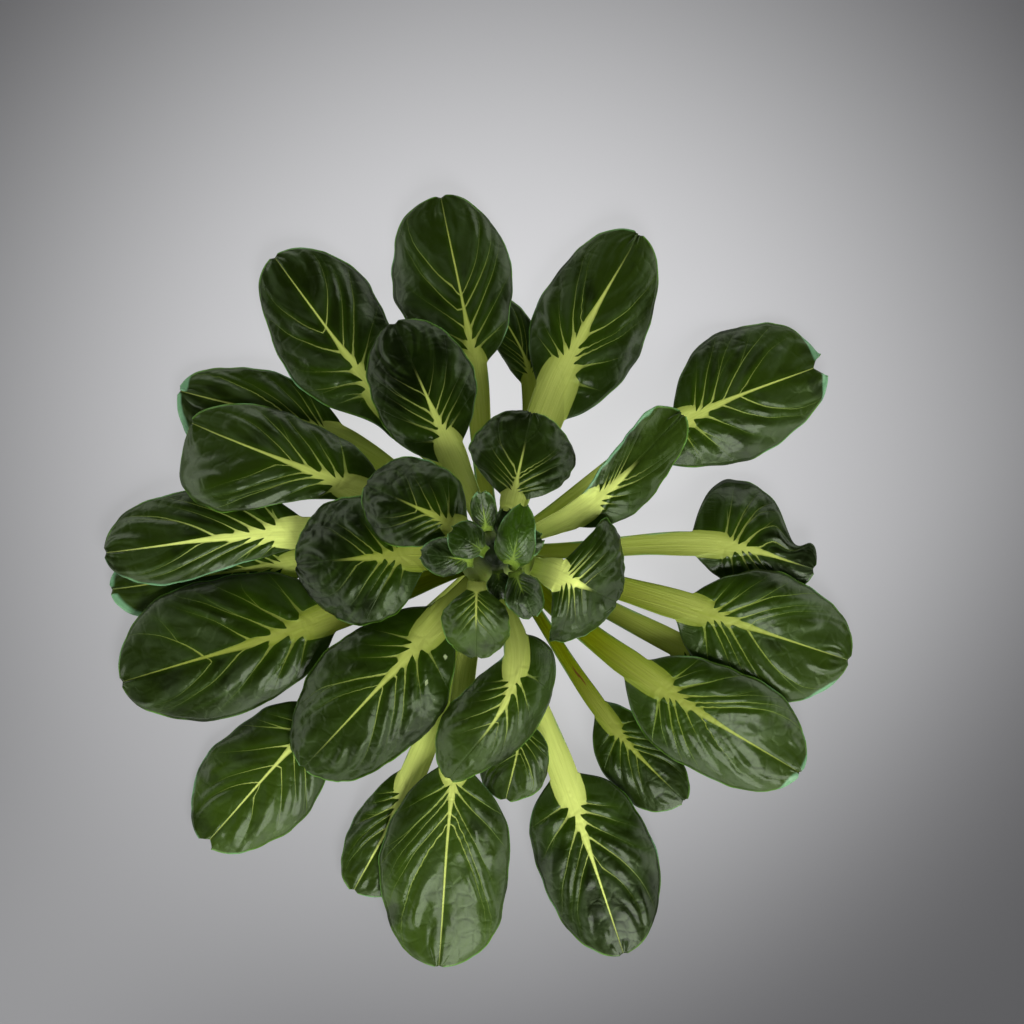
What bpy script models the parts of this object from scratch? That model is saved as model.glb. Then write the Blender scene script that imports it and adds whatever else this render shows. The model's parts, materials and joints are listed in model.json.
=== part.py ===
# Tatsoi rosette: a short crown with spoon-shaped leaves spread round it, lying on its cut base.
#
# Frame: +Z up, with the origin in the middle of the crown's flat cut base. Sizes are in
# millimetres and angles in degrees up to the place where a mesh is made.
import math
from dataclasses import dataclass

import bpy
import numpy as np

MM = 0.001

# The crown, a squat stem that every leaf grows from
CROWN_RADIUS = 13.0
CROWN_CUT_RADIUS = 11.8
CROWN_CUT_ROUNDING = 3.0
CROWN_SHOULDER = 12.0
CROWN_TOP = 30.0
CROWN_TOP_RADIUS = 3.8
CROWN_CAP = ((1.2, 0.85), (1.8, 0.45))  # (rise over the top, share of its radius)
CROWN_SIDES = 24
CROWN_TAPER_ROWS = 6
GROWTH_GAP = 0.35

# The line down a leaf's middle: how far its curve's handles reach, as shares of its spans
STALK_HANDLE = 0.38
BLADE_HANDLE = 0.36
SPINE_POINTS = 80

# Outline of a leaf
FOOT_NARROWING = 0.72  # width of the petiole's foot, as a share
FOOT_NARROWING_FROM = 0.2  # where it starts, as a share of the way down the petiole
OVAL_ONSET = 0.95  # exponents of the blade's half width, onset moving its widest place
OVAL_FULLNESS = 0.9
COLLAR_FLARE = 0.25  # how much wider the petiole is where it runs into the blade
COLLAR_FLARE_LENGTH = 0.4  # share of the petiole over which it widens
STALK_FADE = 4
TIP_FADE = 8
TIP_HALF_WIDTH = 1.0
TIP_HALF_WIDTH_PER_NOTCH = 0.8
NOTCH_FADE = 12
BITE_SPAN = 0.13
MARGIN_WAVER = 0.035  # the margin wanders in and out by this share of its half width
MARGIN_WAVES = 2.3
RIB_CROWDING = 2.2  # how rows crowd towards the base along the rib, and along the margin
MARGIN_CROWDING = 0.9
VEIN_BOW = 0.25  # how far a side vein bows towards the tip on its way out
BLADE_ONSET = 0.12  # share of the blade over which the petiole's section turns into its own

# Relief of a leaf
PETIOLE_CHANNEL = 0.5
VEIN_PAIRS = 5
PUFF_HEIGHT = 0.45
EDGE_CURL = 1.4
EDGE_CURL_HALF_WIDTH = 20.0  # the blade's half width at which the curl has its full depth
RUFFLE = 0.6
RUFFLE_WAVES = 2.5
RUFFLE_SIDE_SHIFT = 0.3  # turns between a leaf's two edges, and from one leaf to the next
RUFFLE_LEAF_SHIFT = 0.382
STEEPEST_LEAN = 0.98

# Thickness of a leaf
EDGE_THICKNESS = 0.85
PETIOLE_THICKNESS = 3.4
PETIOLE_WIDTH = 7.5  # the petiole that has this thickness
PETIOLE_THICKNESS_POWER = 0.8
HEEL_LENGTH = 8.0
HEEL_FADES = (45.0, 70.0)  # slopes of a petiole between which its foot turns to lie along the crown
PLAN_HOLD = (0.2, 0.7)  # where a leaf is steeper than these level shares, it faces as it grows
RIB_END_SHARE = 0.15  # half width of the rib at the tip, as a share of that at the base
RIB_WIDTH_FADE = 5
RIB_DEPTH_FADE = 2.2
RIB_FLANK = 1.15

# Mesh of a leaf, with fewer rows and columns for a small one. Rows run from the petiole's
# foot at -1 over the blade's base at 0 to its tip at 1, columns from edge to edge.
SMALL_LEAF_WIDTH = 20.0
STALK_ROWS = (-1.0, -0.92, -0.68, -0.35)
SMALL_STALK_ROWS = (-1.0, -0.85, -0.4)
ROWS_PER_VEIN = 2
SMALL_BLADE_ROWS = 8
COLUMNS = (-1.0, -0.8, -0.52, -0.22, 0.0, 0.22, 0.52, 0.8, 1.0)
SMALL_COLUMNS = (-1.0, -0.5, 0.0, 0.5, 1.0)

# How the leaves lie on each other
FLOOR_CLEARANCE = 0.6
LEAF_CLEARANCE = 1.0
CROWN_ZONE = 4.0  # round the crown the feet stand side by side, so nothing is lifted there
CELL = 1.0
FIELD_HALF = 160
TEST_STEPS = (10, 6)  # points tested along and across a facet, and points stored
STORE_STEPS = (14, 10)
LIFT_ALONG = 32.0
LIFT_ACROSS = 26.0
LEAST_LIFT_ALONG = 8.0
LIFT_FROM_FOOT = 6.0
LIFT_MARGIN = 0.05
LIFT_ROUNDS = 400

# Where the leaves' feet stand on the crown
LOWEST_FOOT = 1.5
FOOT_CLIMB = 0.02
FOOT_STEP = 0.25
FOOT_CLEARANCE = 0.5
FOOT_SHIFTS = (0, 4, -4, 8, -8, 12, -12, 16, -16, 20, -20)
SHIFT_COST = 0.2  # millimetres of climbing that a degree of shift is worth


@dataclass
class Leaf:
    """One leaf. base and tip are (azimuth, reach, height) of the blade's two ends, left and
    right the plan widths of its halves as seen from the crown, rise the slope at which the
    petiole leaves the crown, and droop the slope of the tip. cups are the slopes that the
    halves reach at their edges, downwards where positive. starts are the places where the
    halves begin, down the petiole where negative. bulges move their widest places towards
    the tip where positive, notch is how deep the tip is cut in, and bite a hollow in one
    edge: (1 left or -1 right, place from base 0 to tip 1, share of the width). wedge is how
    slender the base tapers down to the petiole."""

    name: str
    base: tuple
    tip: tuple
    left: float
    right: float
    petiole: float
    rise: float
    droop: float
    cups: tuple = (28.0, 28.0)
    starts: tuple = (0.0, 0.0)
    bulges: tuple = (0.0, 0.0)
    wedge: float = 0.06
    notch: float = 0.8
    bite: tuple = (0, 0.5, 0.0)


# From the lowest and oldest leaf to the youngest
LEAVES = [
    Leaf("outer_leaf_01", (183, 66, 8), (185.5, 131, 3), 15, 15, 7.0, 12, -12),
    Leaf("outer_leaf_02", (333, 67, 8), (333, 108, 3), 16, 16, 6.5, 12, -12),
    Leaf("outer_leaf_03", (78.5, 58, 8), (91, 86, 4), 7.5, 8, 5.5, 14, -10),
    Leaf("outer_leaf_04", (144, 66, 9), (153, 120.5, 4), 21, 13.5, 7.0, 14, -16),
    Leaf("outer_leaf_05", (249, 85, 9), (247, 124, 4), 18, 11.5, 7.0, 12, -12, starts=(-4, -6)),
    Leaf(
        "outer_leaf_06", (223, 82, 10), (225, 139, 4), 19, 20, 7.0, 14, -14,
        starts=(-4, -4), notch=2.5,
    ),
    Leaf(
        "outer_leaf_07", (304, 72, 9), (307, 105, 5), 10.5, 14, 4.6, 14, -12,
        starts=(-11, -9), bulges=(0, 0.1),
    ),
    Leaf(
        "outer_leaf_08", (1.5, 79, 13), (357, 107, 7), 24, 14, 6.5, 14, -14,
        cups=(38, 30), starts=(-14, -13), bulges=(-0.25, 0), bite=(1, 0.68, 0.65),
    ),
    Leaf(
        "outer_leaf_09", (35, 78, 12), (30, 127, 5), 23, 21.5, 7.0, 14, -14,
        starts=(-4, -18), bulges=(0.06, -0.05), notch=4,
    ),
    Leaf(
        "outer_leaf_10", (127, 71, 12), (127, 125, 5), 19, 20, 7.5, 18, -14,
        starts=(-22, -4), bite=(1, 0.2, 0.5), wedge=0.01,
    ),
    Leaf(
        "outer_leaf_11", (287, 86, 12), (287.5, 142, 5), 22, 19.5, 7.5, 14, -14,
        starts=(-8, -9), bulges=(-0.12, -0.12),
    ),
    Leaf("outer_leaf_12", (278, 57, 13), (272, 83, 8), 11.5, 12.5, 5.5, 20, -16),
    Leaf(
        "outer_leaf_13", (70, 64, 14), (66, 117.5, 6), 18.5, 20.5, 10.5, 20, -14,
        starts=(-7, -15), bulges=(-0.05, -0.12),
    ),
    Leaf("outer_leaf_14", (97, 63, 15), (99, 121.5, 6), 22.5, 18.5, 7.0, 20, -14, bulges=(0.1, 0)),
    Leaf("outer_leaf_15", (201, 64, 14), (199, 134, 5), 22, 26, 8.0, 20, -14, starts=(-5, -8)),
    Leaf(
        "outer_leaf_16", (174, 65, 16), (180, 132, 6), 13, 18.5, 8.5, 24, -16,
        bulges=(0.35, 0),
    ),
    Leaf("outer_leaf_17", (259, 75, 16), (262, 141, 5), 22.5, 22.5, 7.5, 22, -16, starts=(-3, -3)),
    Leaf(
        "outer_leaf_18", (344, 70, 16), (343, 124, 6), 21, 23.5, 8.0, 22, -16,
        starts=(-4, -7),
    ),
    Leaf(
        "outer_leaf_19", (156, 53, 19), (157, 112, 8), 25, 16, 7.5, 30, -18,
        starts=(-4, -10), bulges=(0.9, -0.1),
    ),
    Leaf(
        "outer_leaf_20", (321, 71, 18), (324, 126, 7), 20, 19, 7.5, 26, -18,
        starts=(-10, -13), bulges=(0.04, -0.05),
    ),
    Leaf("middle_leaf_1", (114, 40, 28), (114, 84, 21), 18, 18, 7.5, 40, -24, starts=(-6, -2)),
    Leaf("middle_leaf_2", (229, 38, 27), (228, 97, 12), 22.5, 21, 8.0, 40, -26, starts=(-12, -12)),
    Leaf(
        "middle_leaf_3", (278, 41, 30), (258, 77, 18), 14.5, 15, 6.5, 44, -34,
        cups=(62, 40), starts=(-14, -8), bulges=(-0.4, 0.1), wedge=0.03,
    ),
    Leaf(
        "middle_leaf_4", (181, 29, 32), (183, 67, 22), 23, 21.5, 8.0, 46, -32,
        starts=(-6, -3), bulges=(-0.1, 0),
    ),
    Leaf(
        "middle_leaf_5", (28, 35, 32), (37, 77, 26), 9, 12, 7.0, 44, -16,
        cups=(-60, 35), starts=(-2, -8), bulges=(0.3, -0.15),
    ),
    Leaf("middle_leaf_6", (341, 21, 36), (338, 43, 28), 24, 21, 8.5, 56, -36, cups=(40, 40)),
    Leaf("inner_leaf_1", (74, 19, 40), (76, 48, 36), 17.5, 18, 6.5, 60, -22),
    Leaf("inner_leaf_2", (146, 17, 40), (152, 49, 32), 15, 16.5, 6.0, 60, -30, starts=(0, -6)),
    Leaf("inner_leaf_3", (240, 13, 42), (259, 35, 34), 11.5, 11.5, 5.0, 62, -36),
    Leaf("heart_leaf_1", (314, 9, 37), (300, 24, 36), 6.5, 6.5, 4.0, 70, -30),
    Leaf("heart_leaf_2", (192, 9, 40), (180, 25, 38), 6.5, 6.5, 3.8, 68, -34),
    Leaf("heart_leaf_3", (112, 9, 43), (104, 21, 50), 4.2, 4.2, 3.4, 74, 30),
    Leaf("heart_leaf_4", (274, 6, 37), (276, 15.5, 37), 4.4, 4.4, 3.0, 80, -20),
    Leaf("heart_leaf_5", (60, 6, 40), (78, 15, 43), 4.5, 4.5, 3.0, 80, 0),
    Leaf("heart_leaf_6", (15, 6, 38), (20, 16, 40), 4.5, 4.5, 3.0, 80, 0),
    Leaf("heart_leaf_7", (165, 4.5, 46), (152, 17, 49), 6.5, 6.5, 3.4, 84, -10),
    Leaf(
        "heart_leaf_8", (335, 5.6, 47), (61, 18.5, 52), 7.5, 6.5, 3.8, 84, -5,
        starts=(-3, -3), bulges=(-0.25, -0.25),
    ),
]


def polar(azimuth, reach, height):
    angle = math.radians(azimuth)
    return np.array([reach * math.cos(angle), reach * math.sin(angle), height])


def slope_direction(heading, slope):
    """A unit vector over the plan direction heading, slope degrees above the horizon."""
    flat = unit(np.array([heading[0], heading[1], 0.0]))
    angle = math.radians(slope)
    return flat * math.cos(angle) + np.array([0.0, 0.0, math.sin(angle)])


def smooth(value, low, high):
    share = np.clip((value - low) / (high - low), 0.0, 1.0)
    return share * share * (3.0 - 2.0 * share)


def crown_radius(height):
    """The crown's radius at a height: rounded at the cut, then straight, then tapered."""
    if height < CROWN_CUT_ROUNDING:
        share = 1.0 - height / CROWN_CUT_ROUNDING
        return CROWN_RADIUS - (CROWN_RADIUS - CROWN_CUT_RADIUS) * share**2
    taper = float(smooth(height, CROWN_SHOULDER, CROWN_TOP))
    return CROWN_RADIUS + (CROWN_TOP_RADIUS - CROWN_RADIUS) * taper


def petiole_thickness(leaf):
    return PETIOLE_THICKNESS * (leaf.petiole / PETIOLE_WIDTH) ** PETIOLE_THICKNESS_POWER


def curve(start, start_way, end_way, end, handle):
    """Points of a curve that leaves start along start_way and reaches end along end_way,
    its handles handle times as long as the way from start to end."""
    reach = handle * np.linalg.norm(end - start)
    t = np.linspace(0.0, 1.0, SPINE_POINTS)[:, None]
    return (
        start * (1 - t) ** 3
        + (start + start_way * reach) * 3 * t * (1 - t) ** 2
        + (end - end_way * reach) * 3 * t**2 * (1 - t)
        + end * t**3
    )


def unit(vector):
    return vector / np.linalg.norm(vector)


class Spine:
    """The line down the middle of a leaf's upper face. along is 0 at the blade's base,
    negative on the petiole, and blade_length at the tip."""

    def __init__(self, leaf, foot_azimuth, foot_height):
        lowest = foot_height - petiole_thickness(leaf)
        self.foot_radius = max(crown_radius(lowest), crown_radius(foot_height)) + GROWTH_GAP
        foot = polar(foot_azimuth, self.foot_radius, foot_height)
        collar, tip = polar(*leaf.base), polar(*leaf.tip)
        launch = slope_direction(foot, leaf.rise)
        self.heel_share = 1.0 - float(smooth(leaf.rise, *HEEL_FADES))
        self.foot_way, self.blade_way = unit(foot * (1, 1, 0)), unit((tip - collar) * (1, 1, 0))
        through = unit(unit(collar - foot) + unit(tip - collar))
        landing = slope_direction(tip - collar, leaf.droop)
        stalk = curve(foot, launch, through, collar, STALK_HANDLE)
        blade = curve(collar, through, landing, tip, BLADE_HANDLE)
        self.points = np.vstack([stalk, blade[1:]])
        steps = np.linalg.norm(np.diff(self.points, axis=0), axis=1)
        run = np.concatenate([[0.0], np.cumsum(steps)])
        self.stalk_length = run[len(stalk) - 1]
        self.along = run - self.stalk_length
        self.blade_length = self.along[-1]

    def frames(self, along):
        """(points, forward, leftward, upward) at places along the leaf."""
        points = np.stack([np.interp(along, self.along, c) for c in self.points.T], -1)
        slopes = np.gradient(self.points, self.along, axis=0)
        forward = np.stack([np.interp(along, self.along, c) for c in slopes.T], -1)
        forward /= np.linalg.norm(forward, axis=-1, keepdims=True)
        flat = forward * (1, 1, 0)
        level = np.linalg.norm(flat, axis=-1, keepdims=True)
        turned = smooth(along, -self.stalk_length, 0.0)[..., None]
        growth = self.foot_way * (1 - turned) + self.blade_way * turned
        flat = flat + growth * (1 - smooth(level, *PLAN_HOLD))
        leftward = np.cross([0.0, 0.0, 1.0], flat)
        leftward /= np.linalg.norm(leftward, axis=-1, keepdims=True)
        upward = np.cross(forward, leftward)
        heel = 1.0 - smooth(along + self.stalk_length, 0.0, HEEL_LENGTH)[..., None]
        heel = heel * self.heel_share
        upward = upward * (1.0 - heel) + np.array([0.0, 0.0, 1.0]) * heel
        upward /= np.linalg.norm(upward, axis=-1, keepdims=True)
        return points, forward, leftward, upward


def mesh_rows(leaf):
    """Places along a leaf's mesh, and how many of them lie on its petiole. Those on the blade
    lie on its side veins and halfway between them."""
    if leaf.left + leaf.right < SMALL_LEAF_WIDTH:
        stalk, blade = SMALL_STALK_ROWS, SMALL_BLADE_ROWS
    else:
        stalk, blade = STALK_ROWS, ROWS_PER_VEIN * VEIN_PAIRS + 1
    return np.concatenate([stalk, np.linspace(0.0, 1.0, blade)]), len(stalk)


def mesh_columns(leaf):
    return SMALL_COLUMNS if leaf.left + leaf.right < SMALL_LEAF_WIDTH else COLUMNS


class Sheet:
    """A leaf's upper and lower faces as grids of points. A row runs from the rib out along
    a side vein, so on the blade it leans towards the tip."""

    def __init__(self, leaf, spine, phase):
        row, column = np.meshgrid(mesh_rows(leaf)[0], mesh_columns(leaf), indexing="ij")
        t = np.clip(row, 0.0, 1.0)
        size = np.abs(column)
        on_stalk = row < 0

        # Outline
        blade_half, cup, start, bulge = (
            np.where(column > 0, *pair)
            for pair in ((leaf.left, leaf.right), leaf.cups, leaf.starts, leaf.bulges)
        )
        oval = blade_half * np.sin(math.pi * t ** (OVAL_ONSET + bulge)) ** OVAL_FULLNESS
        down = ((1 - np.cos(math.pi * t)) / 2) ** MARGIN_CROWDING
        oval *= np.sqrt(down * (1 + leaf.wedge) / (down + leaf.wedge))
        bitten, place, depth = leaf.bite
        hollow = depth * np.exp(-(((t - place) / BITE_SPAN) ** 2))
        oval *= np.where(column * bitten > 0, 1 - hollow, 1.0)
        turns = MARGIN_WAVES * t + 2 * phase + RUFFLE_SIDE_SHIFT * (column > 0)
        oval *= 1 + MARGIN_WAVER * np.sin(2 * math.pi * turns)
        collar = 1 + COLLAR_FLARE * (1 - smooth(-row, 0.0, COLLAR_FLARE_LENGTH))
        stalk_half = leaf.petiole / 2 * collar * (1 - t**2) ** STALK_FADE
        tip_half = (TIP_HALF_WIDTH + TIP_HALF_WIDTH_PER_NOTCH * leaf.notch) * t**TIP_FADE
        half = np.sqrt(stalk_half**2 + oval**2 + tip_half**2)
        narrowing = (1 - FOOT_NARROWING) * smooth(-row, FOOT_NARROWING_FROM, 1.0)
        half *= np.where(on_stalk, 1 - narrowing, 1.0)
        middle = spine.blade_length * t**RIB_CROWDING - leaf.notch * t**NOTCH_FADE
        margin = start + (spine.blade_length - start) * down
        along = middle + (margin - middle) * ((1 - VEIN_BOW) * size + VEIN_BOW * size**2)
        self.along = np.where(on_stalk, spine.stalk_length * row, along)
        self.side = column * half
        self.from_foot = self.along + spine.stalk_length
        points, forward, leftward, upward = spine.frames(self.along)
        on_blade = smooth(row, 0.0, BLADE_ONSET)

        # The cross-section is an arc on each side of the rib
        lean = self.side * np.sin(np.radians(cup)) / blade_half * on_blade
        lean = np.clip(lean, -STEEPEST_LEAN, STEEPEST_LEAN)
        fall = np.abs(self.side) * np.tan(np.arcsin(np.abs(lean)) / 2) * np.sign(cup)

        # Relief: side veins sunk between puffed strips, a curled edge and a wavy one
        strips = np.sin(math.pi * t * VEIN_PAIRS) ** 2
        puff = PUFF_HEIGHT * strips * np.sin(math.pi * size) * on_blade
        curl = EDGE_CURL * size**4 * on_blade * oval / EDGE_CURL_HALF_WIDTH
        turns = RUFFLE_WAVES * row + phase + RUFFLE_SIDE_SHIFT * (column > 0)
        wave = RUFFLE * size**3 * np.sin(2 * math.pi * turns) * on_blade * oval / blade_half
        channel = PETIOLE_CHANNEL * (1 - size**2) * (1 - on_blade)
        rise = puff + wave - curl - channel - fall

        # The foot's end wraps the crown
        wrap = np.sqrt(np.maximum(spine.foot_radius**2 - self.side**2, 1.0)) - spine.foot_radius
        wrap *= 1.0 - smooth(self.from_foot, 0.0, HEEL_LENGTH)
        self.top = points + leftward * self.side[..., None] + upward * rise[..., None]
        self.top += forward * wrap[..., None]

        # Thick at the petiole and under the rib, thin at the edge
        outward_share = np.maximum(along, 0) / spine.blade_length
        rib = RIB_END_SHARE + (1 - RIB_END_SHARE) * np.exp(-RIB_WIDTH_FADE * outward_share)
        rib = np.where(on_stalk, half, leaf.petiole / 2 * rib) * RIB_FLANK
        depth = petiole_thickness(leaf) - EDGE_THICKNESS
        depth = EDGE_THICKNESS + depth * np.exp(-RIB_DEPTH_FADE * outward_share)
        thickness = depth * np.sqrt(np.maximum(1 - (self.side / rib) ** 2, 0.0))
        thickness = np.maximum(thickness, EDGE_THICKNESS)[..., None]
        outward = upward * np.sqrt(1 - lean**2)[..., None] + leftward * lean[..., None]
        self.bottom = self.top - outward * thickness

    def lift(self, along, side, amount):
        """Raises the leaf round one place, smoothly, with its foot left on the crown."""
        from_foot = along + self.from_foot.max() - self.along.max()
        inward = min(LIFT_ALONG, max(from_foot, LEAST_LIFT_ALONG))
        away = self.along - along
        away /= np.where(away < 0, inward, LIFT_ALONG)
        share = np.hypot(away, (self.side - side) / LIFT_ACROSS)
        bump = np.cos(np.clip(share, 0.0, 1.0) * math.pi / 2) ** 2
        raised = amount * bump * smooth(self.from_foot, 0.0, LIFT_FROM_FOOT)
        self.top[..., 2] += raised
        self.bottom[..., 2] += raised


def split_forward(column, columns):
    """Whether a mesh cell's diagonal leans away from the rib towards the tip."""
    return column < columns // 2


def facet_points(grid, steps):
    """Points spread evenly over the flat triangles of a grid."""
    a, b, c, d = grid[:-1, :-1], grid[:-1, 1:], grid[1:, :-1], grid[1:, 1:]
    s = np.linspace(0, 1, steps[0])[:, None, None, None, None]
    t = np.linspace(0, 1, steps[1])[None, :, None, None, None]
    one_way = np.where(
        s + t <= 1, a + s * (c - a) + t * (b - a), d + (1 - s) * (b - d) + (1 - t) * (c - d)
    )
    other_way = np.where(s >= t, a + s * (c - a) + t * (d - c), a + t * (b - a) + s * (d - b))
    forward = split_forward(np.arange(a.shape[1]), grid.shape[1])[None, None, None, :, None]
    return np.where(forward, other_way, one_way)


class HeightField:
    """The highest leaf surface over each cell of the plan, as a table to lay leaves on."""

    def __init__(self):
        count = int(2 * FIELD_HALF / CELL)
        self.heights = np.full((count, count), FLOOR_CLEARANCE - LEAF_CLEARANCE)

    def cells(self, points):
        index = ((points[..., :2] + FIELD_HALF) / CELL).astype(int)
        return index[..., 0], index[..., 1]

    def add(self, points):
        new = np.full_like(self.heights, -1.0)
        np.maximum.at(new, self.cells(points), points[..., 2])
        for axis in (0, 1):
            wide = new.copy()
            for step in (1, -1):
                wide = np.maximum(wide, np.roll(new, step, axis))
            new = wide
        self.heights = np.maximum(self.heights, new)

    def shortfall(self, points):
        short = self.heights[self.cells(points)] + LEAF_CLEARANCE - points[..., 2]
        reach = np.hypot(points[..., 0], points[..., 1])
        return np.where(reach < CROWN_RADIUS + CROWN_ZONE, -1.0, short)


def place_foot(leaf, order, placed):
    """(azimuth, height) of the lowest place on the crown, near the leaf's own azimuth, where
    its foot clears those of the older leaves."""
    thickness = petiole_thickness(leaf)
    width = leaf.petiole * FOOT_NARROWING
    best = None
    for shift in FOOT_SHIFTS:
        azimuth = leaf.base[0] + shift
        height = thickness + LOWEST_FOOT + FOOT_CLIMB * order**2
        while not foot_is_clear(azimuth, height, width, thickness, placed):
            height += FOOT_STEP
        cost = height + SHIFT_COST * abs(shift)
        if best is None or cost < best[0]:
            best = (cost, azimuth, height)
    placed.append((best[1], best[2], width, thickness))
    return best[1], best[2]


def foot_is_clear(azimuth, height, width, thickness, placed):
    radius = crown_radius(height)
    for other_azimuth, other_height, other_width, other_thickness in placed:
        apart = abs((other_azimuth - azimuth + 180) % 360 - 180)
        beside = math.radians(apart) * radius > (other_width + width) / 2 + FOOT_CLEARANCE
        above = height - thickness - other_height > FOOT_CLEARANCE
        below = other_height - other_thickness - height > FOOT_CLEARANCE
        if not (beside or above or below):
            return False
    return True


def settle(sheet, field):
    """Lays a leaf on the older ones: it is lifted, smoothly, wherever it would touch them."""
    along = facet_points(sheet.along[..., None], TEST_STEPS)[..., 0]
    side = facet_points(sheet.side[..., None], TEST_STEPS)[..., 0]
    for _ in range(LIFT_ROUNDS):
        short = field.shortfall(facet_points(sheet.bottom, TEST_STEPS))
        worst = np.unravel_index(short.argmax(), short.shape)
        if short[worst] <= 0:
            break
        sheet.lift(along[worst], side[worst], short[worst] + LIFT_MARGIN)
    field.add(facet_points(sheet.top, STORE_STEPS))


def material(name, colour, roughness):
    made = bpy.data.materials.new(name)
    made.use_nodes = True
    shader = made.node_tree.nodes["Principled BSDF"]
    shader.inputs["Base Color"].default_value = (*colour, 1.0)
    shader.inputs["Roughness"].default_value = roughness
    made.diffuse_color = (*colour, 1.0)
    return made


def add_object(name, points, faces, materials, material_index):
    mesh = bpy.data.meshes.new(name)
    mesh.from_pydata((np.asarray(points) * MM).tolist(), [], faces)
    for one in materials:
        mesh.materials.append(one)
    mesh.polygons.foreach_set("material_index", material_index)
    made = bpy.data.objects.new(name, mesh)
    bpy.context.scene.collection.objects.link(made)
    return made


def sheet_solid(top, bottom):
    """Points and triangles of the solid between two grids, split alike on both faces."""
    rows, columns = top.shape[:2]
    points = np.vstack([top.reshape(-1, 3), bottom.reshape(-1, 3)])
    under = rows * columns
    faces = []
    for i in range(rows - 1):
        for j in range(columns - 1):
            a, b = i * columns + j, i * columns + j + 1
            c, d = a + columns, b + columns
            pairs = [(a, c, d), (a, d, b)] if split_forward(j, columns) else [(a, c, b), (b, c, d)]
            faces += pairs
            faces += [(under + r, under + q, under + p) for p, q, r in pairs]
    border = list(range(columns))
    border += [i * columns + columns - 1 for i in range(1, rows)]
    border += [(rows - 1) * columns + j for j in range(columns - 2, -1, -1)]
    border += [i * columns for i in range(rows - 2, 0, -1)]
    for a, b in zip(border, border[1:] + border[:1]):
        faces += [(a, b, under + b), (a, under + b, under + a)]
    return points, faces


def make_leaf(leaf, sheet, materials):
    """The leaf's solid, with the first material on its petiole and the second on its blade."""
    points, faces = sheet_solid(sheet.top, sheet.bottom)
    rows, columns = sheet.side.shape
    stalk_rows = mesh_rows(leaf)[1]
    index = [int(face[0] % (rows * columns) // columns >= stalk_rows) for face in faces]
    return add_object(leaf.name, points, faces, materials, index)


def make_crown(one):
    heights = [0.0, CROWN_CUT_ROUNDING / 3, CROWN_CUT_ROUNDING]
    heights += list(np.linspace(CROWN_SHOULDER, CROWN_TOP, CROWN_TAPER_ROWS))
    radii = [crown_radius(height) for height in heights]
    for rise, share in CROWN_CAP:
        heights.append(CROWN_TOP + rise)
        radii.append(CROWN_TOP_RADIUS * share)
    points, faces = [], []
    for height, radius in zip(heights, radii):
        for k in range(CROWN_SIDES):
            points.append(polar(360 * k / CROWN_SIDES, radius, height))
    for i in range(len(heights) - 1):
        for k in range(CROWN_SIDES):
            a, b = i * CROWN_SIDES + k, i * CROWN_SIDES + (k + 1) % CROWN_SIDES
            faces.append((a, b, b + CROWN_SIDES, a + CROWN_SIDES))
    faces.append(tuple(reversed(range(CROWN_SIDES))))
    faces.append(tuple(range(len(points) - CROWN_SIDES, len(points))))
    return add_object("crown", points, faces, [one], [0] * len(faces))


def main():
    for old in list(bpy.data.objects):
        bpy.data.objects.remove(old)
    pale = material("petiole_pale_green", (0.36, 0.44, 0.09), 0.4)
    dark = material("blade_dark_green", (0.022, 0.055, 0.012), 0.38)
    young = material("blade_young_green", (0.06, 0.16, 0.03), 0.38)
    stem = material("crown_cream_green", (0.45, 0.47, 0.2), 0.55)
    make_crown(stem)
    field = HeightField()
    placed = []
    for order, leaf in enumerate(LEAVES):
        spine = Spine(leaf, *place_foot(leaf, order, placed))
        sheet = Sheet(leaf, spine, order * RUFFLE_LEAF_SHIFT)
        settle(sheet, field)
        blade = young if leaf.name.startswith("heart") else dark
        make_leaf(leaf, sheet, [pale, blade])


main()
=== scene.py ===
import json
import math

import bpy
import numpy as np
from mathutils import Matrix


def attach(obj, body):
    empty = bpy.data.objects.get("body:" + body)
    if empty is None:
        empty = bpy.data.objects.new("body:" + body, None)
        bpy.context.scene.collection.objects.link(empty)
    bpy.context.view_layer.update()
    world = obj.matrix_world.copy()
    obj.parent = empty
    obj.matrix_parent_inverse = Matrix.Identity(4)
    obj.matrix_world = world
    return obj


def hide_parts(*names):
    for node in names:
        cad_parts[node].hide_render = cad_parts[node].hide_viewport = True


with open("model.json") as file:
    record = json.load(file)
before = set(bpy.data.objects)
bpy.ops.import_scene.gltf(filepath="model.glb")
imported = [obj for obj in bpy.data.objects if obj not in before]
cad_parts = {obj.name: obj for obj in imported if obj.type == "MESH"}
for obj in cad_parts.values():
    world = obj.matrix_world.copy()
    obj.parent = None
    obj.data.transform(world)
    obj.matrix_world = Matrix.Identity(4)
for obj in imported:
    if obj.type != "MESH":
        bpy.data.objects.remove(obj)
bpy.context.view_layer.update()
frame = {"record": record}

# Tatsoi rosette. Leaf sizes are in millimetres and angles in degrees, meshes in metres.
mm = 0.001


def operator(operation, reflected=False):
    def apply(self, *others):
        values = (*others, self) if reflected else (self, *others)
        return self.board.maths(operation, *values)

    return apply


class Wire:
    # A value socket that can be used in a Python expression
    def __init__(self, board, socket):
        self.board, self.socket = board, socket

    def math(self, operation, *others):
        return self.board.maths(operation, self, *others)

    __add__ = __radd__ = operator("ADD")
    __mul__ = __rmul__ = operator("MULTIPLY")
    __sub__, __rsub__ = operator("SUBTRACT"), operator("SUBTRACT", reflected=True)
    __truediv__, __rtruediv__ = operator("DIVIDE"), operator("DIVIDE", reflected=True)
    __pow__, __abs__ = operator("POWER"), operator("ABSOLUTE")


class Placed:
    # A node on a board, whose outputs are read by name
    def __init__(self, board, node):
        self.board, self.node = board, node

    def __getitem__(self, name):
        return Wire(self.board, findSocket(self.node.outputs, name))


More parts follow.
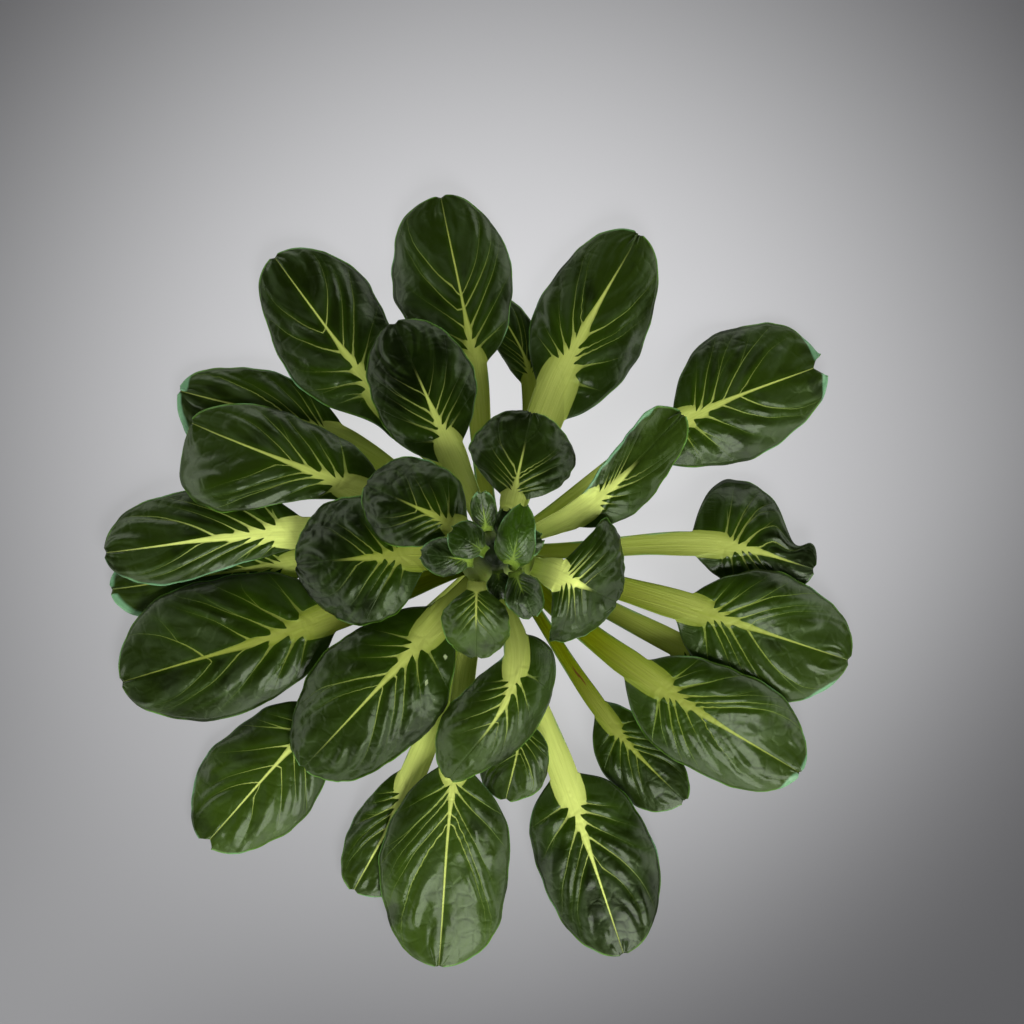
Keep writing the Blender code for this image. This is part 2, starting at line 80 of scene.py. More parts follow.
def findSocket(sockets, name):
    if isinstance(name, int):
        return sockets[name]
    found = [s for s in sockets if s.identifier == name] or [s for s in sockets if s.name == name]
    return found[0]


class Board:
    # A node tree, with one way to add any node to it
    def __init__(self, tree):
        self.tree = tree

    def node(self, kind, settings=None, inputs=None):
        made = self.tree.nodes.new(kind)
        for name, value in (settings or {}).items():
            setattr(made, name, value)
        return self.feed(made, inputs or {})

    def feed(self, node, inputs):
        # Links sockets to wires and sets the others to constants
        for name, value in inputs.items():
            socket = findSocket(node.inputs, name)
            if isinstance(value, Wire):
                self.tree.links.new(value.socket, socket)
            else:
                socket.default_value = value
        return Placed(self, node)

    def maths(self, operation, *values):
        inputs = dict(enumerate(values))
        return self.node("ShaderNodeMath", {"operation": operation}, inputs)["Value"]

    def vector(self, operation, inputs):
        return self.node("ShaderNodeVectorMath", {"operation": operation}, inputs)["Vector"]

    def attribute(self, name, kind="FLOAT"):
        if self.tree.bl_idname == "ShaderNodeTree":
            return self.node("ShaderNodeAttribute", {"attribute_name": name})["Fac"]
        asked = {"data_type": kind}
        return self.node("GeometryNodeInputNamedAttribute", asked, {"Name": name})["Attribute"]

    def axes(self, vector):
        return self.node("ShaderNodeSeparateXYZ", {}, {"Vector": vector})

    def point(self, x, y, z):
        return self.node("ShaderNodeCombineXYZ", {}, {"X": x, "Y": y, "Z": z})["Vector"]

    def smooth(self, value, low, high):
        # 0 at low, 1 at high, eased at both ends
        settings = {"interpolation_type": "SMOOTHSTEP"}
        inputs = {"Value": value, "From Min": low, "From Max": high}
        return self.node("ShaderNodeMapRange", settings, inputs)["Result"]

    def bell(self, value, width):
        # 1 where value is 0, falling off over width
        share = value / width
        return (share * share * -1.0).math("EXPONENT")

    def noise(self, place, scale, detail=2.0, roughness=0.5):
        inputs = {"Vector": place, "Scale": scale, "Detail": detail, "Roughness": roughness}
        return self.node("ShaderNodeTexNoise", {}, inputs)["Fac"]

    def mix(self, share, first, second):
        inputs = {"Factor_Float": share, "A_Color": first, "B_Color": second}
        return self.node("ShaderNodeMix", {"data_type": "RGBA"}, inputs)["Result_Color"]

    def paint(self, looks, below, **layers):
        # Lays colours of a dictionary over one another, each with its share
        for name, share in layers.items():
            below = self.mix(share, below, looks[name])
        return below

    def bump(self, height, strength, distance):
        inputs = {"Strength": strength, "Distance": distance, "Height": height}
        return self.node("ShaderNodeBump", {}, inputs)["Normal"]


def addMaterial(name):
    # A material with its board, its shader and the place that is being shaded
    made = bpy.data.materials.new(name)
    made.use_nodes = True
    board = Board(made.node_tree)
    spot = board.node("ShaderNodeTexCoord")["Object"]
    return made, board, made.node_tree.nodes["Principled BSDF"], spot


def addObject(name, data):
    made = bpy.data.objects.new(name, data)
    bpy.context.scene.collection.objects.link(made)
    return made


def colour(red, green, blue):
    # A screen colour, with levels up to 255, as Blender's linear one
    def linear(level):
        level /= 255
        return level / 12.92 if level <= 0.04045 else ((level + 0.055) / 1.055) ** 2.4

    return (linear(red), linear(green), linear(blue), 1.0)


crownSizes = {
    "radius": 13.0, "cutRadius": 11.8, "cutRounding": 3.0, "shoulder": 12.0, "top": 30.0,
    "topRadius": 3.8, "cap": 1.8, "gap": 0.35,
}

leafShape = {
    "petioleThickness": 3.4, "petioleWidth": 7.5, "thicknessPower": 0.8, "petioleChannel": 0.5,
    "stalkHandle": 0.38, "bladeHandle": 0.36, "spinePoints": 80,
    "footNarrowing": 0.72, "footNarrowingFrom": 0.2, "collarFlare": 0.25, "collarFlareLength": 0.4,
    "onset": 0.95, "fullness": 0.9,  # exponents of the blade's half width
    "marginCrowding": 0.9, "ribCrowding": (2.2, 1.35),  # and of its rows, coarse and fine
    "stalkFade": 4, "tipFade": 8, "notchFade": 12, "tipHalf": 1.0, "tipHalfPerNotch": 0.8,
    "bow": 0.25, "biteSpan": 0.13, "waver": 0.035, "waverWaves": 2.3,
    "scallop": 0.011, "scallopWaves": (6.3, 9.7), "bladeOnset": 0.12, "steepest": 0.98,
    "rowsOfVeins": 5, "puff": 0.45, "curl": 1.4, "curlHalf": 20, "ruffle": 0.6,
    "ruffleWaves": 2.5, "sideShift": 0.3, "leafShift": 0.382,
    "edgeThickness": 0.85, "ribEnd": 0.15, "ribFade": 5, "ribFlank": 1.15, "depthFade": 2.2,
    "heel": 8.0, "heelFades": (45.0, 70.0), "planHold": (0.2, 0.7), "channelEnds": (0.25, -0.4),
    "smallWidth": 20, "fullWidth": 40,  # a leaf below the one is small, with less relief
}

laying = {
    "floorGap": 0.6, "leafGap": 1.0, "cell": 1.0, "fieldHalf": 160, "crownZone": 4.0,
    "testSteps": (10, 6), "storeSteps": (14, 10),  # points along and across a facet
    "liftAlong": 32.0, "liftAcross": 26.0, "leastLiftAlong": 8.0, "liftFromFoot": 6.0,
    "liftMargin": 0.05, "rounds": 400, "footStep": 0.25, "footGap": 0.5, "lowestFoot": 1.5,
    "footClimb": 0.02, "shiftCost": 0.2,
    "footShifts": (0, 4, -4, 8, -8, 12, -12, 16, -16, 20, -20),
}

# Values of a leaf that gives none of its own, explained in leaf()
usualLeaf = {
    "cups": (28, 28), "starts": (0, 0), "bulges": (0, 0), "wedge": 0.06, "notch": 0.8,
    "bite": (0, 0.5, 0), "tone": 0.3, "stalk": 0.5, "hand": 0.16, "fan": 0.5, "seen": 1.0,
    "bumps": 0.3, "rims": (), "marks": (),
}

darkHeart = {"tone": 0.0, "stalk": 0.0, "hand": 0.05, "seen": 0.2}


def leaf(*placed, **more):
    # base and tip of the blade are (azimuth, reach, height), left and right its half widths,
    # petiole is a width, and rise and droop are the slopes at the foot and the tip. cups are the
    # slopes of the halves at their edges, starts where the halves begin, bulges how far their
    # widest places lie towards the tip, wedge how slender the base tapers down to the petiole,
    # notch how deep the tip is cut in, and bite a hollow (side, place, depth) in one edge.
    # tone goes from the darkest blade at 0 to the palest at 1, stalk from an olive petiole at 0
    # to a cream one at 1. hand is how far the petiole's wide end reaches into the blade, fan how
    # far along the rib side veins start, seen how far they stay visible, and bumps how blistered
    # the rim is. rims are pale stretches of the edge (side, from, to, width), and marks are
    # spots (along, side, radius), brown where the radius is negative; pale ones are painted
    # glints on middle_leaf_2 and a real pale spot on outer_leaf_06.
    names = ("name", "base", "tip", "left", "right", "petiole", "rise", "droop")
    return {**usualLeaf, **dict(zip(names, placed)), **more}


# From the oldest and lowest leaf to the youngest
leaves = [
    leaf("outer_leaf_01", (183, 66, 8), (185.5, 131, 3), 15, 15, 7.0, 12, -12, tone=0.8,
         rims=((-1, 0.6, 1.0, 1.2), (1, 0.6, 0.95, 1.6))),
    leaf("outer_leaf_02", (333, 67, 8), (333, 108, 3), 16, 16, 6.5, 12, -12, stalk=0.15),
    leaf("outer_leaf_03", (78.5, 58, 8), (91, 86, 4), 7.5, 8, 5.5, 14, -10, tone=0.0, stalk=0.1),
    leaf("outer_leaf_04", (144, 66, 9), (153, 120.5, 4), 21, 13.5, 7.0, 14, -16, tone=0.35,
         fan=0.4, rims=((1, 0.62, 1.0, 1.6), (-1, 0.9, 1.0, 2.2))),
    leaf("outer_leaf_05", (249, 85, 9), (247, 124, 4), 18, 11.5, 7.0, 12, -12,
         starts=(-4, -6), tone=0.6, stalk=0.85),
    leaf("outer_leaf_06", (223, 82, 10), (225, 139, 4), 19, 20, 7.0, 14, -14,
         starts=(-4, -4), notch=2.5, tone=1.0, stalk=0.75, fan=0.75,
         rims=((-1, 0.5, 1.0, 0.5),), marks=((-55, -1.5, 2.6), (-52, 0, -1.6))),
    leaf("outer_leaf_07", (304, 72, 9), (307, 105, 5), 10.5, 14, 4.6, 14, -12,
         starts=(-11, -9), bulges=(0, 0.1), tone=0.25, stalk=0.0, hand=0.2, fan=0.4, seen=0.7,
         marks=((-24, 0.8, -1.0), (-21, 0.6, -0.8))),
    leaf("outer_leaf_08", (1.5, 79, 13), (357, 107, 7), 24, 14, 6.5, 14, -14, cups=(38, 30),
         starts=(-14, -13), bulges=(-0.25, 0), bite=(1, 0.68, 0.65), tone=0.0, stalk=0.32,
         hand=0.2, fan=0.4, seen=0.8),
    leaf("outer_leaf_09", (35, 78, 12), (30, 127, 5), 23, 21.5, 7.0, 14, -14,
         starts=(-4, -18), bulges=(0.06, -0.05), notch=4, tone=0.5, stalk=0.45,
         hand=0.13, fan=0.6, rims=((1, 0.88, 1.0, 2.2), (-1, 0.84, 1.0, 1.8))),
    leaf("outer_leaf_10", (127, 71, 12), (127, 125, 5), 19, 20, 7.5, 18, -14,
         starts=(-22, -4), bite=(1, 0.2, 0.5), wedge=0.01, tone=0.1, stalk=0.42, fan=0.6),
    leaf("outer_leaf_11", (287, 86, 12), (287.5, 142, 5), 22, 19.5, 7.5, 14, -14,
         starts=(-8, -9), bulges=(-0.12, -0.12), tone=0.1, stalk=0.8, hand=0.17, fan=0.55),
    leaf("outer_leaf_12", (278, 57, 13), (272, 83, 8), 11.5, 12.5, 5.5, 20, -16, tone=0.6),
    leaf("outer_leaf_13", (70, 64, 14), (66, 117.5, 6), 18.5, 20.5, 10.5, 20, -14,
         starts=(-7, -15), bulges=(-0.05, -0.12), tone=0.4, stalk=0.42, hand=0.23, fan=0.36,
         seen=0.8),
    leaf("outer_leaf_14", (97, 63, 15), (99, 121.5, 6), 22.5, 18.5, 7.0, 20, -14,
         bulges=(0.1, 0), tone=0.25, stalk=0.2, fan=0.6),
    leaf("outer_leaf_15", (201, 64, 14), (199, 134, 5), 22, 26, 8.0, 20, -14,
         starts=(-5, -8), tone=0.2, stalk=0.0, hand=0.27, fan=0.75),
    leaf("outer_leaf_16", (174, 65, 16), (180, 132, 6), 13, 18.5, 8.5, 24, -16,
         bulges=(0.35, 0), tone=0.35, stalk=1.0, hand=0.3, fan=0.6,
         rims=((1, 0.3, 1.0, 0.5),)),
    leaf("outer_leaf_17", (259, 75, 16), (262, 141, 5), 22.5, 22.5, 7.5, 22, -16,
         starts=(-3, -3), tone=1.0, stalk=0.6, hand=0.08, fan=0.35),
    leaf("outer_leaf_18", (344, 70, 16), (343, 124, 6), 21, 23.5, 8.0, 22, -16,
         starts=(-4, -7), tone=0.55, stalk=0.1, hand=0.21, fan=0.4,
         rims=((-1, 0.74, 0.86, 1.2),)),
    leaf("outer_leaf_19", (156, 53, 19), (157, 112, 8), 25, 16, 7.5, 30, -18,
         starts=(-4, -10), bulges=(0.9, -0.1), tone=0.4, stalk=0.4, hand=0.21, fan=0.55),
    leaf("outer_leaf_20", (321, 71, 18), (324, 126, 7), 20, 19, 7.5, 26, -18,
         starts=(-10, -13), bulges=(0.04, -0.05), tone=0.6, stalk=0.0, hand=0.2, fan=0.35,
         rims=((-1, 0.88, 1.0, 1.6), (1, 0.92, 1.0, 1.2))),
    leaf("middle_leaf_1", (114, 40, 28), (114, 84, 21), 18, 18, 7.5, 40, -24,
         starts=(-6, -2), tone=0.0, seen=0.45, bumps=0.6),
    # Its pale marks are painted glints, tiny highlights like water drops
    leaf("middle_leaf_2", (229, 38, 27), (228, 97, 12), 22.5, 21, 8.0, 40, -26,
         starts=(-12, -12), tone=0.2, stalk=0.28, hand=0.15, seen=0.8, bumps=1.0,
         marks=((-1, 10, 1.15), (5.5, 7.8, 0.6), (9, 10.4, 0.55), (11.4, 16.5, 0.55))),
    leaf("middle_leaf_3", (278, 41, 30), (258, 77, 18), 14.5, 15, 6.5, 44, -34, cups=(62, 40),
         starts=(-14, -8), bulges=(-0.4, 0.1), wedge=0.03, tone=0.55, hand=0.14, seen=0.45,
         bumps=0.6),
    leaf("middle_leaf_4", (181, 29, 32), (183, 67, 22), 23, 21.5, 8.0, 46, -32,
         starts=(-6, -3), bulges=(-0.1, 0), tone=0.0, stalk=0.0, hand=0.23, seen=0.5,
         bumps=1.0),
    leaf("middle_leaf_5", (28, 35, 32), (37, 77, 26), 9, 12, 7.0, 44, -16, cups=(-60, 35),
         starts=(-2, -8), bulges=(0.3, -0.15), tone=0.6, stalk=0.85, hand=0.2, fan=0.35,
         seen=0.34, bumps=0.4, rims=((1, 0.1, 0.7, 1.0),)),
    leaf("middle_leaf_6", (341, 21, 36), (338, 43, 28), 24, 21, 8.5, 56, -36, cups=(40, 40),
         tone=0.2, stalk=0.9, hand=0.24, seen=0.4, bumps=1.0),
    leaf("inner_leaf_1", (74, 19, 40), (76, 48, 36), 17.5, 18, 6.5, 60, -22, tone=0.1,
         hand=0.12, fan=0.4, seen=0.5, bumps=1.0),
    leaf("inner_leaf_2", (146, 17, 40), (152, 49, 32), 15, 16.5, 6.0, 60, -30,
         starts=(0, -6), tone=0.0, stalk=0.1, hand=0.18, seen=0.5, bumps=0.6),
    leaf("inner_leaf_3", (240, 13, 42), (259, 35, 34), 11.5, 11.5, 5.0, 62, -36, tone=1.0,
         stalk=0.2, hand=0.03, seen=0.42, bumps=1.0),
    leaf("heart_leaf_1", (314, 9, 37), (300, 24, 36), 6.5, 6.5, 4.0, 70, -30, tone=0.1,
         hand=0.05, seen=0.3),
    leaf("heart_leaf_2", (192, 9, 40), (180, 25, 38), 6.5, 6.5, 3.8, 68, -34, tone=0.05,
         hand=0.05, seen=0.3, bumps=1.0),
    leaf("heart_leaf_3", (112, 9, 43), (104, 21, 50), 4.2, 4.2, 3.4, 74, 30, stalk=0.6,
         hand=0.1, seen=0.6),
    leaf("heart_leaf_4", (274, 6, 37), (276, 15.5, 37), 4.4, 4.4, 3.0, 80, -20, **darkHeart),
    leaf("heart_leaf_5", (60, 6, 40), (78, 15, 43), 4.5, 4.5, 3.0, 80, 0, **darkHeart),
    leaf("heart_leaf_6", (15, 6, 38), (20, 16, 40), 4.5, 4.5, 3.0, 80, 0, **darkHeart),
    leaf("heart_leaf_7", (165, 4.5, 46), (152, 17, 49), 6.5, 6.5, 3.4, 84, -10, tone=0.15,
         stalk=0.0, hand=0.05, seen=0.3),
    leaf("heart_leaf_8", (335, 5.6, 47), (61, 18.5, 52), 7.5, 6.5, 3.8, 84, -5,
         starts=(-3, -3), bulges=(-0.25, -0.25), tone=0.75, stalk=0.2, hand=0.05,
         seen=0.35, bumps=1.0),
]


def polar(azimuth, reach, height):
    angle = math.radians(azimuth)
    return np.array([reach * math.cos(angle), reach * math.sin(angle), height])


def unit(vector):
    return vector / np.linalg.norm(vector)


def ease(value, low, high):
    share = np.clip((value - low) / (high - low), 0.0, 1.0)
    return share * share * (3.0 - 2.0 * share)


def crownRadius(height):
    size = crownSizes
    if height < size["cutRounding"]:
        share = 1.0 - height / size["cutRounding"]
        return size["radius"] - (size["radius"] - size["cutRadius"]) * share**2
    taper = float(ease(height, size["shoulder"], size["top"]))
    return size["radius"] + (size["topRadius"] - size["radius"]) * taper


def petioleThickness(plan):
    share = plan["petiole"] / leafShape["petioleWidth"]
    return leafShape["petioleThickness"] * share ** leafShape["thicknessPower"]


def bend(start, startWay, endWay, end, handle):
    reach = handle * np.linalg.norm(end - start)
    t = np.linspace(0.0, 1.0, leafShape["spinePoints"])[:, None]
    return (
        start * (1 - t) ** 3
        + (start + startWay * reach) * 3 * t * (1 - t) ** 2
        + (end - endWay * reach) * 3 * t**2 * (1 - t)
        + end * t**3
    )


def sloping(heading, slope):
    flat = unit(np.array([heading[0], heading[1], 0.0]))
    return flat * math.cos(math.radians(slope)) + np.array([0, 0, math.sin(math.radians(slope))])


def makeSpine(plan, footAzimuth, footHeight):
    # The line down the middle of a leaf, as points with their distance from the blade's base
    lowest = footHeight - petioleThickness(plan)
    footRadius = max(crownRadius(lowest), crownRadius(footHeight)) + crownSizes["gap"]
    foot = polar(footAzimuth, footRadius, footHeight)
    collar, tip = polar(*plan["base"]), polar(*plan["tip"])
    through = unit(unit(collar - foot) + unit(tip - collar))
    stalkWay, tipWay = sloping(foot, plan["rise"]), sloping(tip - collar, plan["droop"])
    stalk = bend(foot, stalkWay, through, collar, leafShape["stalkHandle"])
    blade = bend(collar, through, tipWay, tip, leafShape["bladeHandle"])
    points = np.vstack([stalk, blade[1:]])
    run = np.concatenate([[0.0], np.cumsum(np.linalg.norm(np.diff(points, axis=0), axis=1))])
    stalkLength = run[len(stalk) - 1]
    level = np.array([1.0, 1.0, 0.0])
    return {
        "points": points, "along": run - stalkLength, "stalk": stalkLength,
        "blade": run[-1] - stalkLength, "footRadius": footRadius,
        "heelShare": 1.0 - float(ease(plan["rise"], *leafShape["heelFades"])),
        "footWay": unit(foot * level), "bladeWay": unit((tip - collar) * level),
    }


def alongSpine(spine, along):
    # Points, forward, leftward and upward directions at places along the leaf
    slopes = np.gradient(spine["points"], spine["along"], axis=0)
    points, forward = (
        np.stack([np.interp(along, spine["along"], c) for c in curve.T], -1)
        for curve in (spine["points"], slopes)
    )
    forward /= np.linalg.norm(forward, axis=-1, keepdims=True)
    flat = forward * (1, 1, 0)
    turned = ease(along, -spine["stalk"], 0.0)[..., None]
    growth = spine["footWay"] * (1 - turned) + spine["bladeWay"] * turned
    level = np.linalg.norm(flat, axis=-1, keepdims=True)
    flat = flat + growth * (1 - ease(level, *leafShape["planHold"]))
    leftward = np.cross([0.0, 0.0, 1.0], flat)
    leftward /= np.linalg.norm(leftward, axis=-1, keepdims=True)
    upward = np.cross(forward, leftward)
    heel = 1.0 - ease(along + spine["stalk"], 0.0, leafShape["heel"])[..., None]
    heel = heel * spine["heelShare"]
    upward = upward * (1.0 - heel) + np.array([0.0, 0.0, 1.0]) * heel
    upward /= np.linalg.norm(upward, axis=-1, keepdims=True)
    return points, forward, leftward, upward


def isSmall(plan):
    return plan["left"] + plan["right"] < leafShape["smallWidth"]


def coarseLines(plan):
    # The few rows and columns that leaves are laid down with
    if isSmall(plan):
        rows = np.concatenate([[-1.0, -0.85, -0.4], np.linspace(0.0, 1.0, 8)])
        return rows, np.array([-1.0, -0.5, 0.0, 0.5, 1.0])
    rows = np.concatenate([[-1.0, -0.92, -0.68, -0.35], np.linspace(0.0, 1.0, 11)])
    return rows, np.array([-1.0, -0.8, -0.52, -0.22, 0.0, 0.22, 0.52, 0.8, 1.0])


def bowed(size):
    # How far out from the rib a place lies on a side vein, which bends towards the tip
    return (1 - leafShape["bow"]) * size + leafShape["bow"] * size**2


def waves(turns):
    return np.sin(2 * math.pi * turns)


def makeSheet(plan, spine, phase, rows, columns, fine):
    # A leaf's faces as grids of points, in rows that lean out from the rib towards the tip.
    # fine is 0 where leaves are laid down, and 1 for the sheet that the tree gives its relief.
    shape, blade, stalk = leafShape, spine["blade"], spine["stalk"]
    row, column = np.meshgrid(rows, columns, indexing="ij")
    t, size, onStalk = np.clip(row, 0.0, 1.0), np.abs(column), row < 0
    bladeHalf, cup, start, bulge = (
        np.where(column > 0, *pair)
        for pair in ((plan["left"], plan["right"]), plan["cups"], plan["starts"], plan["bulges"])
    )

    # Outline
    out = bowed(size)
    down = ((1 - np.cos(math.pi * t)) / 2) ** shape["marginCrowding"]
    margin = start + (blade - start) * down
    middle = blade * t ** shape["ribCrowding"][fine] - plan["notch"] * t ** shape["notchFade"]
    along = middle + (margin - middle) * out
    onPetiole = stalk * row + (fine * (1 + row) * start * out)
    along = np.where(onStalk, onPetiole, along)
    oval = bladeHalf * np.sin(math.pi * t ** (shape["onset"] + bulge)) ** shape["fullness"]
    oval = oval * np.sqrt(down * (1 + plan["wedge"]) / (down + plan["wedge"]))
    bitten, place, depth = plan["bite"]
    hollow = depth * np.exp(-(((t - place) / shape["biteSpan"]) ** 2))
    oval = oval * np.where(column * bitten > 0, 1 - hollow, 1.0)
    turns = shape["waverWaves"] * t + 2 * phase + shape["sideShift"] * (column > 0)
    oval = oval * (1 + shape["waver"] * waves(turns))
    few, many = shape["scallopWaves"]
    scallops = waves(few * t + turns) + 0.5 * waves(many * t - turns)
    oval = oval * (1 + fine * shape["scallop"] * scallops)
    collar = 1 + shape["collarFlare"] * (1 - ease(-row, 0.0, shape["collarFlareLength"]))
    stalkHalf = plan["petiole"] / 2 * collar * (1 - t**2) ** shape["stalkFade"]
    tipHalf = (shape["tipHalf"] + shape["tipHalfPerNotch"] * plan["notch"]) * t ** shape["tipFade"]
    half = np.sqrt(stalkHalf**2 + oval**2 + tipHalf**2)
    narrowing = (1 - shape["footNarrowing"]) * ease(-row, shape["footNarrowingFrom"], 1.0)
    half = half * np.where(onStalk, 1 - narrowing, 1.0)
    side = column * half
    fromFoot = along + stalk
    points, forward, leftward, upward = alongSpine(spine, along)
    onBlade = ease(row, 0.0, shape["bladeOnset"])

    # Cross-section, relief and the foot's end against the crown
    lean = side * np.sin(np.radians(cup)) / bladeHalf * onBlade
    lean = np.clip(lean, -shape["steepest"], shape["steepest"])
    fall = np.abs(side) * np.tan(np.arcsin(np.abs(lean)) / 2) * np.sign(cup)
    puff = shape["puff"] * np.sin(math.pi * t * shape["rowsOfVeins"]) ** 2
    puff = (1 - fine) * puff * np.sin(math.pi * size) * onBlade
    curl = shape["curl"] * size**4 * onBlade * oval / shape["curlHalf"]
    turns = shape["ruffleWaves"] * row + phase + shape["sideShift"] * (column > 0)
    wave = shape["ruffle"] * size**3 * waves(turns) * onBlade * oval / bladeHalf
    low, high = shape["channelEnds"]
    channelEnd = ease(along, low * blade, high * stalk) if fine else 1 - onBlade
    channel = shape["petioleChannel"] * (1 - size**2) * channelEnd
    rise = puff + wave - curl - channel - fall
    wrap = np.sqrt(np.maximum(spine["footRadius"] ** 2 - side**2, 1.0)) - spine["footRadius"]
    wrap = wrap * (1.0 - ease(fromFoot, 0.0, shape["heel"]))
    top = points + leftward * side[..., None] + upward * rise[..., None] + forward * wrap[..., None]

    # Thickness
    share = np.maximum(along, 0) / blade
    ribHalf = shape["ribEnd"] + (1 - shape["ribEnd"]) * np.exp(-shape["ribFade"] * share)
    rib = np.where(onStalk, half, plan["petiole"] / 2 * ribHalf) * shape["ribFlank"]
    edge = shape["edgeThickness"]
    depth = edge + (petioleThickness(plan) - edge) * np.exp(-shape["depthFade"] * share)
    depth = np.maximum(depth * np.sqrt(np.maximum(1 - (side / rib) ** 2, 0.0)), edge)
    outward = upward * np.sqrt(1 - lean**2)[..., None] + leftward * lean[..., None]
    return {
        "row": row, "column": column, "along": along, "side": side, "half": half,
        "fromFoot": fromFoot, "top": top, "bottom": top - outward * depth[..., None],
        "depth": depth, "onStalk": onStalk, "share": share, "forward": forward, "start": start,
    }


def liftSheet(sheet, spine, along, side, amount):
    # Raises a leaf round one place, with its foot left on the crown
    inward = max(along + spine["stalk"], laying["leastLiftAlong"])
    inward = min(laying["liftAlong"], inward)
    away = sheet["along"] - along
    away = away / np.where(away < 0, inward, laying["liftAlong"])
    share = np.hypot(away, (sheet["side"] - side) / laying["liftAcross"])
    raised = amount * np.cos(np.clip(share, 0.0, 1.0) * math.pi / 2) ** 2
    raised = raised * ease(sheet["fromFoot"], 0.0, laying["liftFromFoot"])
    sheet["top"][..., 2] += raised
    sheet["bottom"][..., 2] += raised


def facetPoints(grid, down, across):
    # Points spread over the flat triangles of a coarse grid
    a, b, c, d = grid[:-1, :-1], grid[:-1, 1:], grid[1:, :-1], grid[1:, 1:]
    s = np.linspace(0, 1, down)[:, None, None, None, None]
    t = np.linspace(0, 1, across)[None, :, None, None, None]
    near = a + s * (c - a) + t * (b - a)
    far = d + (1 - s) * (b - d) + (1 - t) * (c - d)
    oneWay = np.where(s + t <= 1, near, far)
    otherWay = np.where(s >= t, a + s * (c - a) + t * (d - c), a + t * (b - a) + s * (d - b))
    forward = (np.arange(a.shape[1]) < grid.shape[1] // 2)[None, None, None, :, None]
    return np.where(forward, otherWay, oneWay)


def fieldCells(points):
    index = ((points[..., :2] + laying["fieldHalf"]) / laying["cell"]).astype(int)
    return index[..., 0], index[..., 1]


def layLeaf(sheet, spine, field):
    # Lifts a leaf wherever it would touch the older ones, and returns the lifts it took
    steps, lifts = laying["testSteps"], []
    along, side = (facetPoints(sheet[n][..., None], *steps)[..., 0] for n in ("along", "side"))
    for _ in range(laying["rounds"]):
        points = facetPoints(sheet["bottom"], *steps)
        short = field[fieldCells(points)] + laying["leafGap"] - points[..., 2]
        reach = np.hypot(points[..., 0], points[..., 1])
        near = reach < crownSizes["radius"] + laying["crownZone"]
        short = np.where(near, -1.0, short)
        worst = np.unravel_index(short.argmax(), short.shape)
        if short[worst] <= 0:
            break
        lifts.append((along[worst], side[worst], short[worst] + laying["liftMargin"]))
        liftSheet(sheet, spine, *lifts[-1])
    points = facetPoints(sheet["top"], *laying["storeSteps"])
    new = np.full_like(field, -1.0)
    np.maximum.at(new, fieldCells(points), points[..., 2])
    for axis in (0, 1):
        new = np.maximum.reduce([new, np.roll(new, 1, axis), np.roll(new, -1, axis)])
    np.maximum(field, new, out=field)
    return lifts


def footIsClear(azimuth, height, width, thickness, placed):
    gap = laying["footGap"]
    for otherAzimuth, otherHeight, otherWidth, otherThickness in placed:
        apart = math.radians(abs((otherAzimuth - azimuth + 180) % 360 - 180))
        beside = apart * crownRadius(height) > (otherWidth + width) / 2 + gap
        above = height - thickness - otherHeight > gap
        below = otherHeight - otherThickness - height > gap
        if not (beside or above or below):
            return False
    return True


def placeFoot(plan, order, placed):
    # The lowest place on the crown, near the leaf's own azimuth, that clears the older feet
    thickness, width = petioleThickness(plan), plan["petiole"] * leafShape["footNarrowing"]
    best = None
    for shift in laying["footShifts"]:
        azimuth = plan["base"][0] + shift
        height = thickness + laying["lowestFoot"] + laying["footClimb"] * order**2
        while not footIsClear(azimuth, height, width, thickness, placed):
            height += laying["footStep"]
        cost = height + laying["shiftCost"] * abs(shift)
        if best is None or cost < best[0]:
            best = (cost, azimuth, height)
    placed.append((best[1], best[2], width, thickness))
    return best[1], best[2]


veins = {
    "count": 5,  # side veins on each half
    "ribGather": 2.0,  # over 1 crowds their starts towards the petiole
    "ribStart": (0.3, 0.04),  # the first one's place in the hand, or in the blade if that is less
    "hubHollow": 0.7,  # how far the blade's green reaches into the hub between the veins
    "handStart": 0.4,  # share of the halves' starts at which the petiole begins to narrow
    "marginGather": 0.7,  # under 1 gathers their ends towards the tip
    "marginStart": 0.13,  # share of the margin that lies before their ends
    "unevenStart": 0.06, "unevenEnd": 0.085, "startWaves": 1.9, "endWaves": 1.4,
    "leafTurn": 0.618, "sideTurn": 0.37, "endTurn": 1.7, "wander": 0.4,
    "farthest": 1.4, "steps": (40, 281),  # where places end, and their steps on either side of 0
    "faintness": 0.22,  # how many millimetres the faintest vein is narrower
    "baseHalf": 0.31, "endHalf": 0.07,  # half widths in millimetres, at the rib and the margin
    "branchFaintness": 0.08, "joining": 0.2, "fillet": 0.4, "hubFillet": 0.8,
    "forkFrom": 0.3, "forkRange": 0.6, "forkSpread": 0.95,
    "ribTipHalf": 0.12, "ribHalf": 0.45, "fullPetiole": 7.0, "handShape": 1.8,
    "webShare": 0.08, "webLength": 4.0,  # each vein's share of the hub's edge, and its taper
}


def veinDistance(board, place, across, gap, seed):
    # Millimetres from the middle line of a vein or of its branch
    which = place.math("ROUND").math("MAXIMUM", 1.0).math("MINIMUM", float(veins["count"]))
    key = board.point(which, across.math("SIGN"), seed)
    chance = board.node("ShaderNodeTexWhiteNoise", {"noise_dimensions": "3D"}, {"Vector": key})
    chance = chance["Value"]
    fork = (abs(across) - veins["forkFrom"] - chance * veins["forkRange"]).math("MAXIMUM", 0.0)
    fork = fork * veins["forkSpread"] * (chance * 37.0).math("SINE").math("SIGN")
    faint = (chance * 91.0).math("FRACT") * veins["faintness"]
    main = abs(place - which) * gap + faint
    branch = abs(place - which - fork) * gap + faint + veins["branchFaintness"]
    return main.math("SMOOTH_MIN", branch, veins["joining"])


